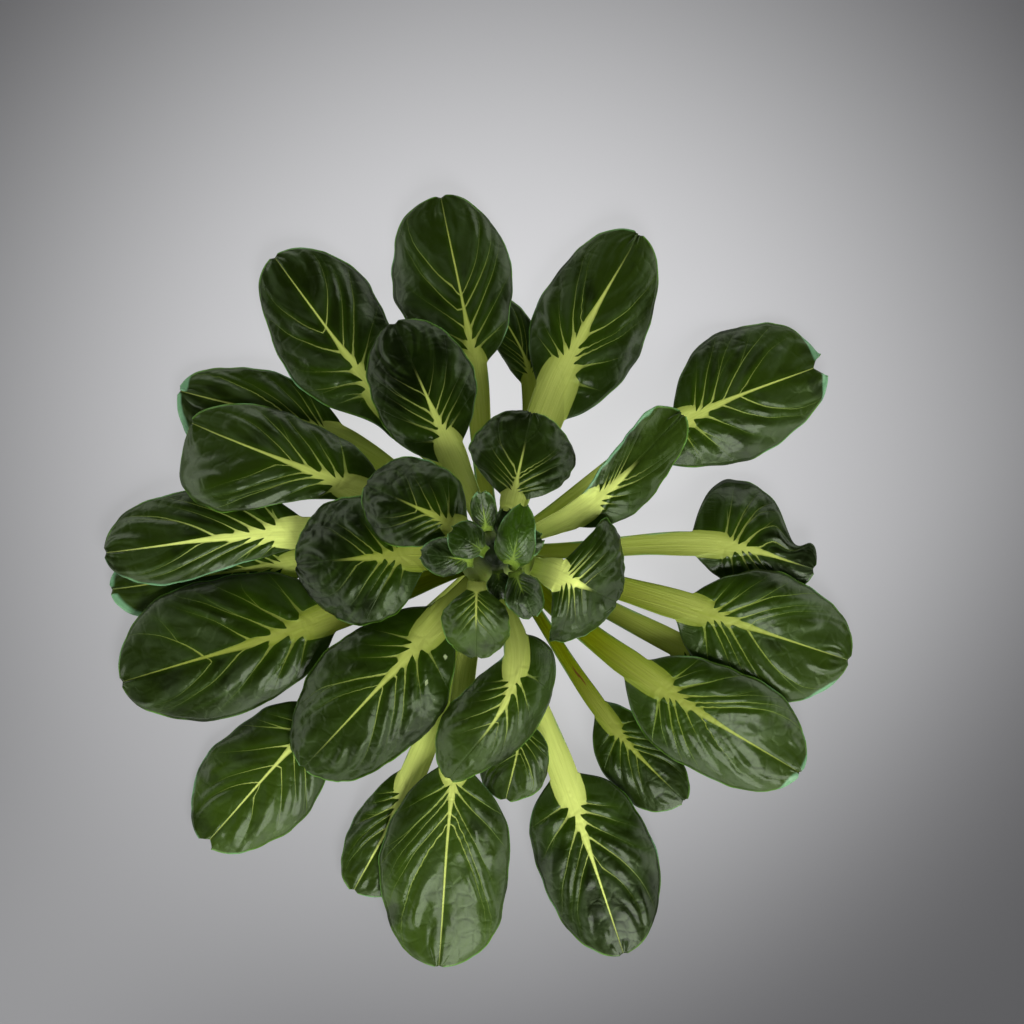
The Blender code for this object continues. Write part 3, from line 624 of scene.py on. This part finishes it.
# Inputs of the leaf tree, with lengths in millimetres
leafRelief = {
    "Furrow Depth": 0.3, "Furrow Width": 0.6, "Puff Height": 0.85, "Swell Height": 1.8,
    "Swell Size": 19.0, "Ripple Height": 0.7, "Ripple Size": 7.0, "Blister Height": 1.7,
    "Blister Size": 3.6, "Ridge Height": 0.35, "Petiole Ribbing": 0.14,
    "Blade Thickness": 0.55, "Seed": 0.0, "Tone": 0.3, "Stalk": 0.5, "Smoothing": 1,
}


def makeLeafTree():
    tree = bpy.data.node_groups.new("leafBody", "GeometryNodeTree")
    face = tree.interface
    face.new_socket("Sheet", in_out="INPUT", socket_type="NodeSocketGeometry")
    for name, value in leafRelief.items():
        kind = "NodeSocketFloat" if isinstance(value, float) else "NodeSocketInt"
        face.new_socket(name, in_out="INPUT", socket_type=kind).default_value = value
    face.new_socket("Skin", in_out="INPUT", socket_type="NodeSocketMaterial")
    face.new_socket("Leaf", in_out="OUTPUT", socket_type="NodeSocketGeometry")

    board = Board(tree)
    given = board.node("NodeGroupInput")
    attribute = board.attribute

    def store(geometry, name, value, selection=True, kind="FLOAT"):
        inputs = {"Geometry": geometry, "Name": name, "Value": value, "Selection": selection}
        asked = {"data_type": kind, "domain": "POINT"}
        return board.node("GeometryNodeStoreNamedAttribute", asked, inputs)["Geometry"]

    def move(geometry, direction, amount, selection=True):
        offset = board.vector("SCALE", {"Vector": direction, "Scale": amount})
        inputs = {"Geometry": geometry, "Offset": offset, "Selection": selection}
        return board.node("GeometryNodeSetPosition", {}, inputs)["Geometry"]

    def uneven(name, detail=1.0):
        grain = board.noise(spot, 1000.0 / given[name + " Size"], detail) - 0.5
        return grain * given[name + " Height"]

    inputs = {"Mesh": given["Sheet"], "Level": given["Smoothing"]}
    mesh = board.node("GeometryNodeSubdivisionSurface", {}, inputs)["Mesh"]

    # The veins wander a little, and differently on the two halves
    across, place, gap = attribute("across"), attribute("veinPlace"), attribute("veinGap")
    seed, sideways, ribHalf = given["Seed"], attribute("sideways"), attribute("ribHalf")
    way = board.point(across * 0.9 + seed, place * 0.55, seed * 3.1)
    wander = (board.noise(way, 1.0) - 0.5) * veins["wander"]
    mesh = store(mesh, "veinPlace", place + wander * board.smooth(place, 0.0, 1.5))
    for name in ("Seed", "Tone", "Stalk"):
        mesh = store(mesh, name.lower(), given[name])

    # Relief, in millimetres along the normal
    place = attribute("veinPlace")
    distance = veinDistance(board, place, across, gap, seed)
    size = abs(across)
    onBlade = board.smooth(place, 0.2, 1.2)
    fromRib = abs(sideways) - ribHalf
    width = given["Furrow Width"]
    showing = attribute("showSide") * 0.8 + 0.2
    furrow = board.bell(distance, width) * showing * board.smooth(fromRib, -0.4, 0.8)
    groove = board.bell(fromRib, width) * attribute("showRib") * 0.7
    sunken = (furrow + groove) * given["Furrow Depth"] * onBlade
    spot = board.node("GeometryNodeInputPosition")["Position"]
    between = (place * math.pi).math("SINE")
    pillow = between * between * (size * math.pi).math("SINE") * board.smooth(gap, 1.0, 6.0)
    pillow = pillow * board.smooth(board.noise(spot, 90.0, 1.0), 0.35, 0.65)
    waving = (uneven("Swell", 0.0) + uneven("Ripple")) * (size * 0.7 + 0.3)
    waving = pillow * given["Puff Height"] + waving
    waving = waving + uneven("Blister") * board.smooth(size, 0.45, 1.0)
    ribbing = board.noise(board.point(sideways * 0.9, seed * 5.3, 0.0), 1.0, 1.0) - 0.5
    ribbing = ribbing * given["Petiole Ribbing"] * board.smooth(place, 0.5, -0.5)
    height = waving * onBlade + ribbing - sunken
    normal = board.node("GeometryNodeInputNormal")["Normal"]
    upper = move(mesh, normal, height * mm)

    # The lower face hangs under the upper one, with the veins as ridges on it
    ridge = board.bell(distance, 0.8) * given["Ridge Height"] * (1.0 - size) * onBlade
    thin = 1.0 - size ** 6.0 * 0.45
    depth = attribute("depth") + given["Blade Thickness"] * thin + ridge
    upper = store(upper, "skinNormal", normal, kind="FLOAT_VECTOR")
    upper = store(upper, "fullDepth", depth)
    grown = board.node(
        "GeometryNodeExtrudeMesh", {"mode": "FACES"},
        {"Mesh": upper, "Offset Scale": 0.0, "Individual": False},
    )
    inwards = attribute("skinNormal", "FLOAT_VECTOR")
    lower = move(grown["Mesh"], inwards, attribute("fullDepth") * -mm, grown["Top"])
    lower = store(lower, "under", 1.0, grown["Top"])
    lower = board.node("GeometryNodeFlipFaces", {}, {"Mesh": lower})["Mesh"]
    joined = board.node("GeometryNodeJoinGeometry")
    board.tree.links.new(lower.socket, joined.node.inputs[0])
    board.tree.links.new(upper.socket, joined.node.inputs[0])
    whole = joined["Geometry"]
    for kind, inputs in (
        ("GeometryNodeMergeByDistance", {"Distance": 1e-6}),
        ("GeometryNodeSetShadeSmooth", {}), ("GeometryNodeRealizeInstances", {}),
        ("GeometryNodeSetMaterial", {"Material": given["Skin"]}),
    ):
        whole = board.node(kind, {}, {"Geometry": whole, **inputs})["Geometry"]
    board.node("NodeGroupOutput", {}, {"Leaf": whole})
    return tree


def makeSkin(name, looks):
    skin, board, shader, spot = addMaterial(name)
    names = "across veinPlace veinGap sideways ribHalf half alongLeaf downHand nearHub"
    across, place, gap, sideways, ribHalf, half, along, downHand, nearHub = (
        board.attribute(name) for name in names.split()
    )
    names = "under seed tone stalk rimPale mark brown showSide showRib"
    under, seed, tone, stalk, rimPale, mark, brown, showSide, showRib = (
        board.attribute(name) for name in names.split()
    )
    size = abs(across)
    onPetiole = board.smooth(place, 0.6, -0.3)

    # Rib and side veins as one network, webbed where they spread from the petiole
    distance = veinDistance(board, place, across, gap, seed)
    veinHalf = (1.0 - size) ** 1.5 * (veins["baseHalf"] - veins["endHalf"]) + veins["endHalf"]
    veinHalf = veinHalf * (board.smooth(half, 2.0, 14.0) * 0.5 + 0.5)
    between = (place * math.pi).math("SINE")
    hollow = board.smooth(downHand, 0.1, 0.7) * board.smooth(downHand, 1.6, 0.85)
    hollow = hollow * board.smooth(place, 0.6, 1.15)
    fromRib = abs(sideways) - ribHalf * (1.0 - hollow * between * between * veins["hubHollow"])
    taper = (fromRib.math("MAXIMUM", 0.0) / -veins["webLength"]).math("EXPONENT")
    web = gap.math("MINIMUM", 12.0) * taper * nearHub * veins["webShare"]
    fromVein = distance - veinHalf - web + board.smooth(place, 0.9, 0.2) * 1.5
    fillet = nearHub * (veins["hubFillet"] - veins["fillet"]) + veins["fillet"]
    network = fromRib.math("SMOOTH_MIN", fromVein, fillet)
    pale = board.smooth(network, 0.16, -0.16)
    onRib = board.smooth(fromRib, 0.5, -0.3)
    patchy = board.noise(spot, 1000 / looks["mottleSize"], 3.0)
    paleShare = pale * (showSide * (1.0 - onRib) + showRib * onRib)

    # Blade, fresher green beside the rib and the veins, with painted sheen in streaks between the
    # veins and towards the tip
    fine = board.noise(spot, 1000 / looks["fineSize"], 4.0, 0.6)
    # The blade's own tone is raised towards the tip as painted sheen
    paintedTipSheen = board.smooth(place, 1.0, float(veins["count"])) * 0.75 + 0.4
    # Painted sheen: greyish streaks between the veins, standing in for light on the puffed blade
    flow = board.noise(board.point(place * 1.1, across * 1.7, seed * 4.7), 1.4, 2.0)
    satin = board.smooth(flow, 0.4, 0.66) * (between * between * 0.6 + 0.4)
    halo = board.smooth(network, 2.6, 0.0) * showSide
    blade = board.paint(
        looks, looks["darkBlade"], paleBlade=tone * paintedTipSheen,
        lightBlade=board.smooth(patchy, 0.42, 0.72) * 0.55,
        deepBlade=board.smooth(patchy, 0.5, 0.3) * 0.7,
        satin=satin * looks["satinShare"], nearVein=halo * halo * 0.4 + nearHub * 0.25,
    )

    # Petiole, paler along its middle because its flanks carry painted shade of its rounded form,
    # with fine lengthwise streaks
    streakPlace = board.point(sideways * 1.1, along * 0.03, seed * 7.3)
    streaks = board.noise(streakPlace, 1.6, 3.0, 0.6)
    paler = stalk + (1.0 - stalk) * board.smooth(along, -30.0, 4.0) * 0.24
    ribColour = board.mix(paler, looks["olivePetiole"], looks["creamPetiole"])
    # Painted shade on the petiole's flanks, less on pale petioles
    flankShade = board.smooth(abs(sideways) / ribHalf, 0.3, 1.0)
    streaky = board.smooth(streaks, 0.4, 0.7) * (0.3 - paler * 0.15)
    flankShade = flankShade * (0.7 - paler * 0.4)
    petiole = board.paint(looks, ribColour, petioleFlank=flankShade, greenPetiole=streaky)
    sideColour = board.mix(board.smooth(tone, 0.0, 0.6), looks["darkVein"], looks["vein"])
    veinColour = board.mix(size ** 0.6 * 0.85 + 0.15, ribColour, sideColour)
    skinColour = board.mix(paleShare, blade, board.mix(onRib, veinColour, petiole))

    # Thin light edge of the blade, partly its own paler margin and partly a painted highlight,
    # broad where it is bleached
    inset = (1.0 - size) * half
    edge = board.smooth(inset, 0.5, 0.15) * (1.0 - onPetiole) * looks["edgeShare"]
    skinColour = board.paint(looks, skinColour, edge=edge * board.smooth(patchy, 0.35, 0.55))
    bleached = board.smooth(rimPale - inset + (patchy - 0.5) * 2.4, -0.2, 0.6)
    bleachedColour = board.mix(fine, looks["bleached"], looks["bleachedGreen"])
    skinColour = board.mix(bleached * 0.85, skinColour, bleachedColour)
    # Pale marks, painted glints on middle_leaf_2 and a real spot on outer_leaf_06, and brown spots
    mark, brown = (board.smooth(stain + fine * 0.3, 0.5, 0.75) for stain in (mark, brown))
    skinColour = board.paint(looks, skinColour, mark=mark, brown=brown)

    # Underside: paler and duller, with its veins showing
    below = board.paint(looks, looks["under"], underLight=patchy * 0.5, underVein=pale * 0.8)
    below = board.mix(onPetiole, below, petiole)
    beneath = board.smooth(under, 0.3, 0.7)

    # Relief too fine for the mesh, a leathery net on the blade and streaks on the petiole
    bent = board.noise(spot, 300.0, 2.0) * 0.0012
    bentSpot = board.vector("ADD", {0: spot, 1: board.point(bent, bent, bent)})
    inputs = {"Vector": bentSpot, "Scale": 1000 / looks["netSize"]}
    cells = board.node("ShaderNodeTexVoronoi", {"feature": "DISTANCE_TO_EDGE"}, inputs)["Distance"]
    net = board.smooth(cells, 0.0, 0.22) * (1.0 - onPetiole) * 0.4
    bumps = pale * -0.45 + fine * 0.3 + streaks * onPetiole * 1.2 + net
    roughness = looks["roughness"] + (fine - 0.5) * 0.16 + beneath * 0.2 + pale * 0.05
    board.feed(shader, {
        "Base Color": board.mix(beneath, skinColour, below), "Roughness": roughness,
        "Coat Weight": (1.0 - beneath) * (1.0 - pale * 0.85) * looks["gloss"],
        "Coat Roughness": looks["coatRoughness"], "Specular IOR Level": looks["sheen"],
        "Specular Tint": looks["sheenTint"], "Normal": board.bump(bumps, 0.5, 0.0004),
    })
    return skin


outerLooks = {
    "darkBlade": colour(12, 21, 1), "lightBlade": colour(33, 49, 6),
    "deepBlade": colour(5, 9, 0), "paleBlade": colour(54, 75, 17),
    "nearVein": colour(49, 76, 2), "vein": colour(104, 128, 42), "darkVein": colour(68, 86, 26),
    # A greyish painted sheen, and how much of it is laid on
    "satin": colour(64, 80, 48), "satinShare": 0.46,
    "olivePetiole": colour(100, 108, 2), "creamPetiole": colour(240, 255, 138),
    # The second colour on this line is painted shade for the petiole's flanks
    "greenPetiole": colour(136, 156, 24), "petioleFlank": colour(84, 104, 2),
    # Light edge colour, partly the margin's own green and partly a painted highlight
    "edge": colour(96, 144, 40), "edgeShare": 0.6,
    "bleached": colour(140, 186, 150), "bleachedGreen": colour(84, 136, 84),
    # Pale colour for real pale spots and for painted glints
    "mark": colour(160, 174, 126), "brown": colour(96, 62, 26),
    "under": colour(84, 112, 50), "underLight": colour(106, 136, 70),
    "underVein": colour(166, 182, 104), "mottleSize": 16.0, "fineSize": 2.0, "netSize": 4.5,
    "roughness": 0.34, "gloss": 0.19, "coatRoughness": 0.14,
    "sheen": 0.2, "sheenTint": (0.75, 1.0, 0.5, 1.0),
}
middleLooks = {
    # Middle leaves get a greener painted sheen, and less of it
    **outerLooks, "darkBlade": colour(12, 24, 0), "satin": colour(52, 72, 26), "satinShare": 0.36,
    "gloss": 0.11,
}
heartLooks = {
    **outerLooks, "darkBlade": colour(16, 30, 1), "paleBlade": colour(50, 78, 10),
    "lightBlade": colour(36, 58, 6), "nearVein": colour(64, 92, 12),
    "vein": colour(110, 146, 44), "darkVein": colour(82, 110, 30),
    "olivePetiole": colour(48, 70, 6), "creamPetiole": colour(150, 178, 70),
    "greenPetiole": colour(52, 78, 8), "petioleFlank": colour(36, 56, 4),
    "edgeShare": 0.3, "mottleSize": 6.0, "fineSize": 1.2, "netSize": 2.6,
}

visualLeaf = {
    "stalkRows": 14, "bladeRows": 44, "columns": 27, "smallBladeRows": 26, "smallColumns": 17,
    "stalkGather": 1.15, "edgeGather": 0.07, "petioleDepthShare": 0.82, "footReach": 1.0,
    "rimFade": 0.06, "seedStep": 1.7,
}


def fineLines(plan):
    bladeRows = visualLeaf["smallBladeRows" if isSmall(plan) else "bladeRows"]
    count = visualLeaf["smallColumns" if isSmall(plan) else "columns"]
    stalk = np.linspace(0, 1, visualLeaf["stalkRows"], endpoint=False) ** visualLeaf["stalkGather"]
    rows = np.concatenate([-1 + stalk, np.linspace(0.0, 1.0, bladeRows)])
    spread = np.linspace(-1, 1, count)
    return rows, spread + visualLeaf["edgeGather"] * waves(spread)  # closer at rib and edges


def veinPlaces(plan, sheet, spine, order):
    # Which vein each point lies at, counted from the blade's base: whole numbers are veins
    onStalk, onBlade = veins["steps"]
    before = np.linspace(-1.0, 0.0, onStalk, endpoint=False)
    step = np.linspace(0.0, veins["farthest"], onBlade)
    steps, inside = np.concatenate([before, step]), np.minimum(step, 1.0)
    window = np.sin(math.pi * inside)
    places = np.zeros_like(sheet["along"])
    for j, (column, start) in enumerate(zip(sheet["column"][0], sheet["start"][0])):
        turn = order * veins["leafTurn"] + veins["sideTurn"] * (column > 0)
        first = min(veins["ribStart"][0] * plan["hand"], veins["ribStart"][1])
        first = first + veins["handStart"] * start / spine["blade"]
        onRib = first + (plan["fan"] - first) * step ** veins["ribGather"]
        onRib = onRib + veins["unevenStart"] * step**2 * waves(veins["startWaves"] * step + turn)
        onMargin = ((1 - np.cos(math.pi * inside)) / 2) ** veins["marginGather"] + step - inside
        uneven = waves(veins["endWaves"] * step + veins["endTurn"] * turn)
        uneven = veins["unevenEnd"] * window * uneven
        onMargin = veins["marginStart"] * (1 - onMargin) + onMargin
        start = start / spine["blade"]
        margin = start + (1 - start) * (onMargin + uneven)
        reach = np.maximum.accumulate(onRib + (margin - onRib) * bowed(abs(column)))
        reach = np.concatenate([reach[0] + before, reach + 1e-6 * step])
        places[:, j] = np.interp(sheet["along"][:, j] / spine["blade"], reach, steps)
    return places * (veins["count"] + 1)


def slopeLength(top, value):
    # Millimetres over which value changes by one, across its own contour lines
    down, over = np.gradient(top, axis=0), np.gradient(top, axis=1)
    valueDown, valueOver = np.gradient(value, axis=0), np.gradient(value, axis=1)
    dd, oo, do = (np.sum(a * b, -1) for a, b in ((down, down), (over, over), (down, over)))
    area = np.maximum(dd * oo - do**2, 1e-9)
    steep = (valueDown**2 * oo - 2 * valueDown * valueOver * do + valueOver**2 * dd) / area
    return 1.0 / np.sqrt(np.maximum(steep, 1e-6))


def sheetMesh(plan, sheet, spine, order):
    # The upper face as a mesh that carries what the tree and the skin read
    top, rows, columns = sheet["top"], *sheet["row"].shape
    places = veinPlaces(plan, sheet, spine, order)
    share, hand = sheet["share"], plan["hand"]
    collar = plan["petiole"] / 2 * (1 + leafShape["collarFlare"])
    handStart = veins["handStart"] * sheet["start"] / spine["blade"]
    downHand = np.maximum(sheet["along"] / spine["blade"] - handStart, 0) / (hand - handStart)
    small = min(1.0, plan["petiole"] / veins["fullPetiole"])
    ribHalf = collar * np.exp(-(downHand ** veins["handShape"]))
    ribHalf = ribHalf + veins["ribHalf"] * small * (1 - share) + veins["ribTipHalf"]
    rim = veins["ribHalf"] * small + veins["ribTipHalf"]
    ribHalf = np.where(sheet["onStalk"], sheet["half"] + rim, ribHalf)
    seen = plan["seen"]
    outward = np.maximum(np.abs(sheet["column"]), share)
    rimPale, mark, brown = (np.zeros_like(share) for _ in range(3))
    fade = visualLeaf["rimFade"]
    for side, low, high, width in plan["rims"]:
        inside = ease(sheet["row"], low - fade, low + fade) * ease(sheet["row"], high + fade, high)
        np.maximum(rimPale, inside * width * (sheet["column"] * side > 0), out=rimPale)
    # Marks: brown spots, pale spots and painted glints
    for along, side, radius in plan["marks"]:
        away = np.hypot(sheet["along"] - along, sheet["side"] - side) / abs(radius)
        stain = mark if radius > 0 else brown
        np.maximum(stain, np.exp(-(away**4)), out=stain)
    extra = sheet["depth"] - leafShape["edgeThickness"]
    values = {
        "across": sheet["column"], "veinPlace": places, "veinGap": slopeLength(top, places),
        "sideways": sheet["side"], "ribHalf": ribHalf, "half": sheet["half"],
        "alongLeaf": sheet["along"], "downHand": downHand, "rimPale": rimPale, "mark": mark,
        "brown": brown, "depth": extra * visualLeaf["petioleDepthShare"],
        "showSide": ease(outward, seen + 0.25, 0.5 * seen),
        "showRib": ease(share, seen + 0.15, 0.5 * seen + 0.1),
        "nearHub": ease(share, hand + 0.2, 0.7 * hand),
    }
    top[0] -= sheet["forward"][0] * visualLeaf["footReach"]
    mesh = bpy.data.meshes.new(plan["name"] + "_sheet")
    faces = [
        (i * columns + j, (i + 1) * columns + j, (i + 1) * columns + j + 1, i * columns + j + 1)
        for i in range(rows - 1)
        for j in range(columns - 1)
    ]
    mesh.from_pydata((top.reshape(-1, 3) * mm).tolist(), [], faces)
    for name, value in values.items():
        layer = mesh.attributes.new(name, "FLOAT", "POINT")
        layer.data.foreach_set("value", value.astype(np.float32).ravel())
    return mesh


def realise(made, name):
    # The evaluated object as a plain mesh of its own
    bpy.context.view_layer.update()
    graph = bpy.context.evaluated_depsgraph_get()
    mesh = bpy.data.meshes.new_from_object(made.evaluated_get(graph))
    bpy.data.objects.remove(made)
    return addObject(name, mesh)


def slotOf(name):
    for part in frame["record"]["subparts"]:
        if part["node"] == name:
            return part["material_slot"]


def dressLeaf(order, plan, spine, sheet, tree, skin):
    made = addObject("sheet", sheetMesh(plan, sheet, spine, order))
    modifier = made.modifiers.new("leafBody", "NODES")
    modifier.node_group = tree
    full = leafShape["fullWidth"]
    scale = min(1.0, (plan["left"] + plan["right"]) / full) if isSmall(plan) else 1.0
    blister = leafRelief["Blister Height"] * plan["bumps"] * (0.4 + 0.6 * scale)
    inputs = {
        "Seed": order * visualLeaf["seedStep"], "Tone": float(plan["tone"]),
        "Stalk": float(plan["stalk"]), "Skin": skin, "Blister Height": blister,
        "Furrow Width": leafRelief["Furrow Width"] * (0.5 + 0.5 * scale),
        "Puff Height": leafRelief["Puff Height"] * scale,
        "Ripple Height": leafRelief["Ripple Height"] * scale,
        "Swell Height": leafRelief["Swell Height"] * scale**2,
    }
    for socket in tree.interface.items_tree:
        if socket.name in inputs:
            modifier[socket.identifier] = inputs[socket.name]
    piece = realise(made, plan["name"] + "_skin")
    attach(piece, "root")
    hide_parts(plan["name"])
    slotOf(plan["name"])
    return sum(len(p.vertices) - 2 for p in piece.data.polygons)


tree = makeLeafTree()
skins = {
    "outer_leaf": makeSkin("waxyLeaf", outerLooks),
    "middle_leaf": makeSkin("middleLeaf", middleLooks),
    "heart_leaf": makeSkin("heartLeaf", heartLooks),
}
cells = int(2 * laying["fieldHalf"] / laying["cell"])
field = np.full((cells, cells), laying["floorGap"] - laying["leafGap"])
placedFeet = []
triangles = 0
for order, plan in enumerate(leaves):
    spine = makeSpine(plan, *placeFoot(plan, order, placedFeet))
    phase = order * leafShape["leafShift"]
    coarse = makeSheet(plan, spine, phase, *coarseLines(plan), 0)
    lifts = layLeaf(coarse, spine, field)
    sheet = makeSheet(plan, spine, phase, *fineLines(plan), 1)
    for lift in lifts:
        liftSheet(sheet, spine, *lift)
    triangles += dressLeaf(order, plan, spine, sheet, tree, skins[slotOf(plan["name"])])
print("leaves made:", len(leaves), "with", triangles, "triangles")


crownLooks = {
    "flesh": colour(206, 208, 150), "green": colour(120, 140, 52), "dark": colour(34, 52, 14),
    "scar": colour(120, 104, 60), "cutRing": colour(182, 186, 118),
    "cutMiddle": colour(222, 222, 180), "ringRadius": 8.2, "ringWidth": 0.9,
    "sides": 96, "rows": 40, "bottomRows": (0.0, 0.25, 0.8, 1.6), "ledge": 0.3,
    "highestLedge": 0.33, "inset": 0.05,
}


def makeCrownSkin(looks):
    skin, board, shader, spot = addMaterial("crownSkin")
    axes = board.axes(spot)
    reach = (axes["X"] * axes["X"] + axes["Y"] * axes["Y"]).math("SQRT") * 1000.0
    height = axes["Z"] * 1000.0
    grain = board.noise(spot, 500.0, 4.0, 0.6)
    side = board.paint(
        looks, looks["flesh"], green=board.smooth(height, 2.0, 14.0),
        scar=board.smooth(grain, 0.58, 0.7) * 0.5, dark=board.smooth(height, 20.0, 28.0),
    )
    ring = board.bell(reach - looks["ringRadius"], looks["ringWidth"])
    scarred = board.smooth(grain, 0.6, 0.75) * 0.35  # on the cut face at the bottom
    cut = board.paint(looks, looks["cutMiddle"], cutRing=ring * 0.8, scar=scarred)
    board.feed(shader, {
        "Base Color": board.mix(board.smooth(height, 0.25, 0.05), side, cut),
        "Roughness": 0.55, "Normal": board.bump(grain, 0.6, 0.0006),
    })
    return skin


def makeCrown(looks, top):
    sides, heights = looks["sides"], list(looks["bottomRows"])
    heights += list(np.linspace(crownSizes["cutRounding"], top, looks["rows"]))
    points, faces = [], []
    for height in heights:
        for k in range(sides):
            angle = 360 * k / sides
            dent = 0.0
            for azimuth, foot, width, thickness in placedFeet:  # a ledge under each foot
                apart = math.radians((azimuth - angle + 180) % 360 - 180) * crownRadius(height)
                under = height - (foot - thickness / 2)
                far = (apart / width * 1.6) ** 2 + (under / thickness * 1.3) ** 2
                dent += looks["ledge"] * math.exp(-far)
            radius = crownRadius(height) + min(dent, looks["highestLedge"])
            radius -= looks["inset"]
            points.append(polar(angle, radius, height) * mm)
    last = len(points) - sides
    points.append((0, 0, (top + crownSizes["cap"]) * mm))
    pairs = [(k, (k + 1) % sides) for k in range(sides)]
    for ring in range(0, last, sides):
        upper = ring + sides
        faces += [(ring + k, ring + n, upper + n, upper + k) for k, n in pairs]
    faces.append(list(reversed(range(sides))))
    faces += [(last + k, last + n, last + sides) for k, n in pairs]
    mesh = bpy.data.meshes.new("crown_skin")
    mesh.from_pydata(points, [], faces)
    mesh.polygons.foreach_set("use_smooth", [len(face) < 5 for face in faces])
    mesh.materials.append(makeCrownSkin(looks))
    return addObject("crown_skin", mesh)


crown = makeCrown(crownLooks, crownSizes["top"])
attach(crown, "root")
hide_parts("crown")
print("crown made")


studio = {
    "cameraHeight": 1.1, "cameraOver": (0.005, 0.0137), "frameWidth": 0.3413,
    "frameAtHeight": 0.015, "sensor": 36.0, "floorHalf": 3.0,
    # The paper's glow is painted light: a pool round the plant, with painted shade and painted
    # light at corners
    "paper": colour(90, 90, 92), "paperGlow": 0.68, "glowTint": (1.0, 1.0, 1.02, 1.0),
    "glowMiddle": (0.0, 0.036), "glowInner": 0.0, "glowOuter": 0.275,
    "shadedCorner": (0.12, 0.33, 0.65),  # from and to, along x - y, and how much darker
    "litCorner": (-0.18, -0.17, 0.1, 0.3),  # x, y, width and how much lighter
    "horizon": (1.0, 1.0, 1.0, 1.0), "zenith": (0.003, 0.003, 0.003, 1.0), "skyStrength": 3.1,
    "horizonEnds": 0.15, "zenithStarts": 0.52,
    "panelPlace": (0.45, -1.3, 1.2), "panelSize": 1.0, "panelPower": 29.0,
}


def makeFloor():
    half = studio["floorHalf"]
    mesh = bpy.data.meshes.new("floor")
    corners = [(-half, -half, 0), (half, -half, 0), (half, half, 0), (-half, half, 0)]
    mesh.from_pydata(corners, [], [(0, 1, 2, 3)])
    paper, board, shader, spot = addMaterial("floorPaper")
    # The floor's emission paints a pool of light round the plant, painted shade towards one corner
    # and painted light at another
    axes = board.axes(spot)
    away = [axes[name] - middle for name, middle in zip("XY", studio["glowMiddle"])]
    away = (away[0] * away[0] + away[1] * away[1]).math("SQRT")
    shine = board.smooth(away, studio["glowOuter"], studio["glowInner"])
    low, high, share = studio["shadedCorner"]
    shine = shine * (1.0 - board.smooth(axes["X"] - axes["Y"], low, high) * share)
    cornerX, cornerY, width, share = studio["litCorner"]
    paintedLightPatch = board.bell(axes["X"] - cornerX, width) * board.bell(axes["Y"] - cornerY, width)
    glow = board.mix(shine + paintedLightPatch * share, (0.0, 0.0, 0.0, 1.0), studio["glowTint"])
    board.feed(shader, {
        "Base Color": studio["paper"], "Roughness": 0.9, "Specular IOR Level": 0.1,
        "Emission Color": glow, "Emission Strength": studio["paperGlow"],
    })
    mesh.materials.append(paper)
    return addObject("floor", mesh)


floor = makeFloor()

world = bpy.data.worlds.new("studio")
bpy.context.scene.world = world
world.use_nodes = True
sky = Board(world.node_tree)
rise = sky.axes(sky.node("ShaderNodeTexCoord")["Generated"])["Z"]
upwards = sky.smooth(rise, studio["horizonEnds"], studio["zenithStarts"])
around = sky.mix(upwards, studio["horizon"], studio["zenith"])
backdrop = world.node_tree.nodes["Background"]
sky.feed(backdrop, {"Color": around, "Strength": studio["skyStrength"]})

panel = bpy.data.lights.new("keyPanel", "AREA")
panel.size, panel.energy = studio["panelSize"], studio["panelPower"]
lit = addObject("keyPanel", panel)
lit.location = studio["panelPlace"]
lit.rotation_euler = (-lit.location).to_track_quat("-Z", "Y").to_euler()

lens = bpy.data.cameras.new("camera")
lens.sensor_width = studio["sensor"]
distance = studio["cameraHeight"] - studio["frameAtHeight"]
lens.lens = studio["sensor"] * distance / studio["frameWidth"]
camera = addObject("camera", lens)
camera.location = (*studio["cameraOver"], studio["cameraHeight"])
bpy.context.scene.camera = camera
bpy.context.scene.view_settings.view_transform = "Standard"
print("studio made")
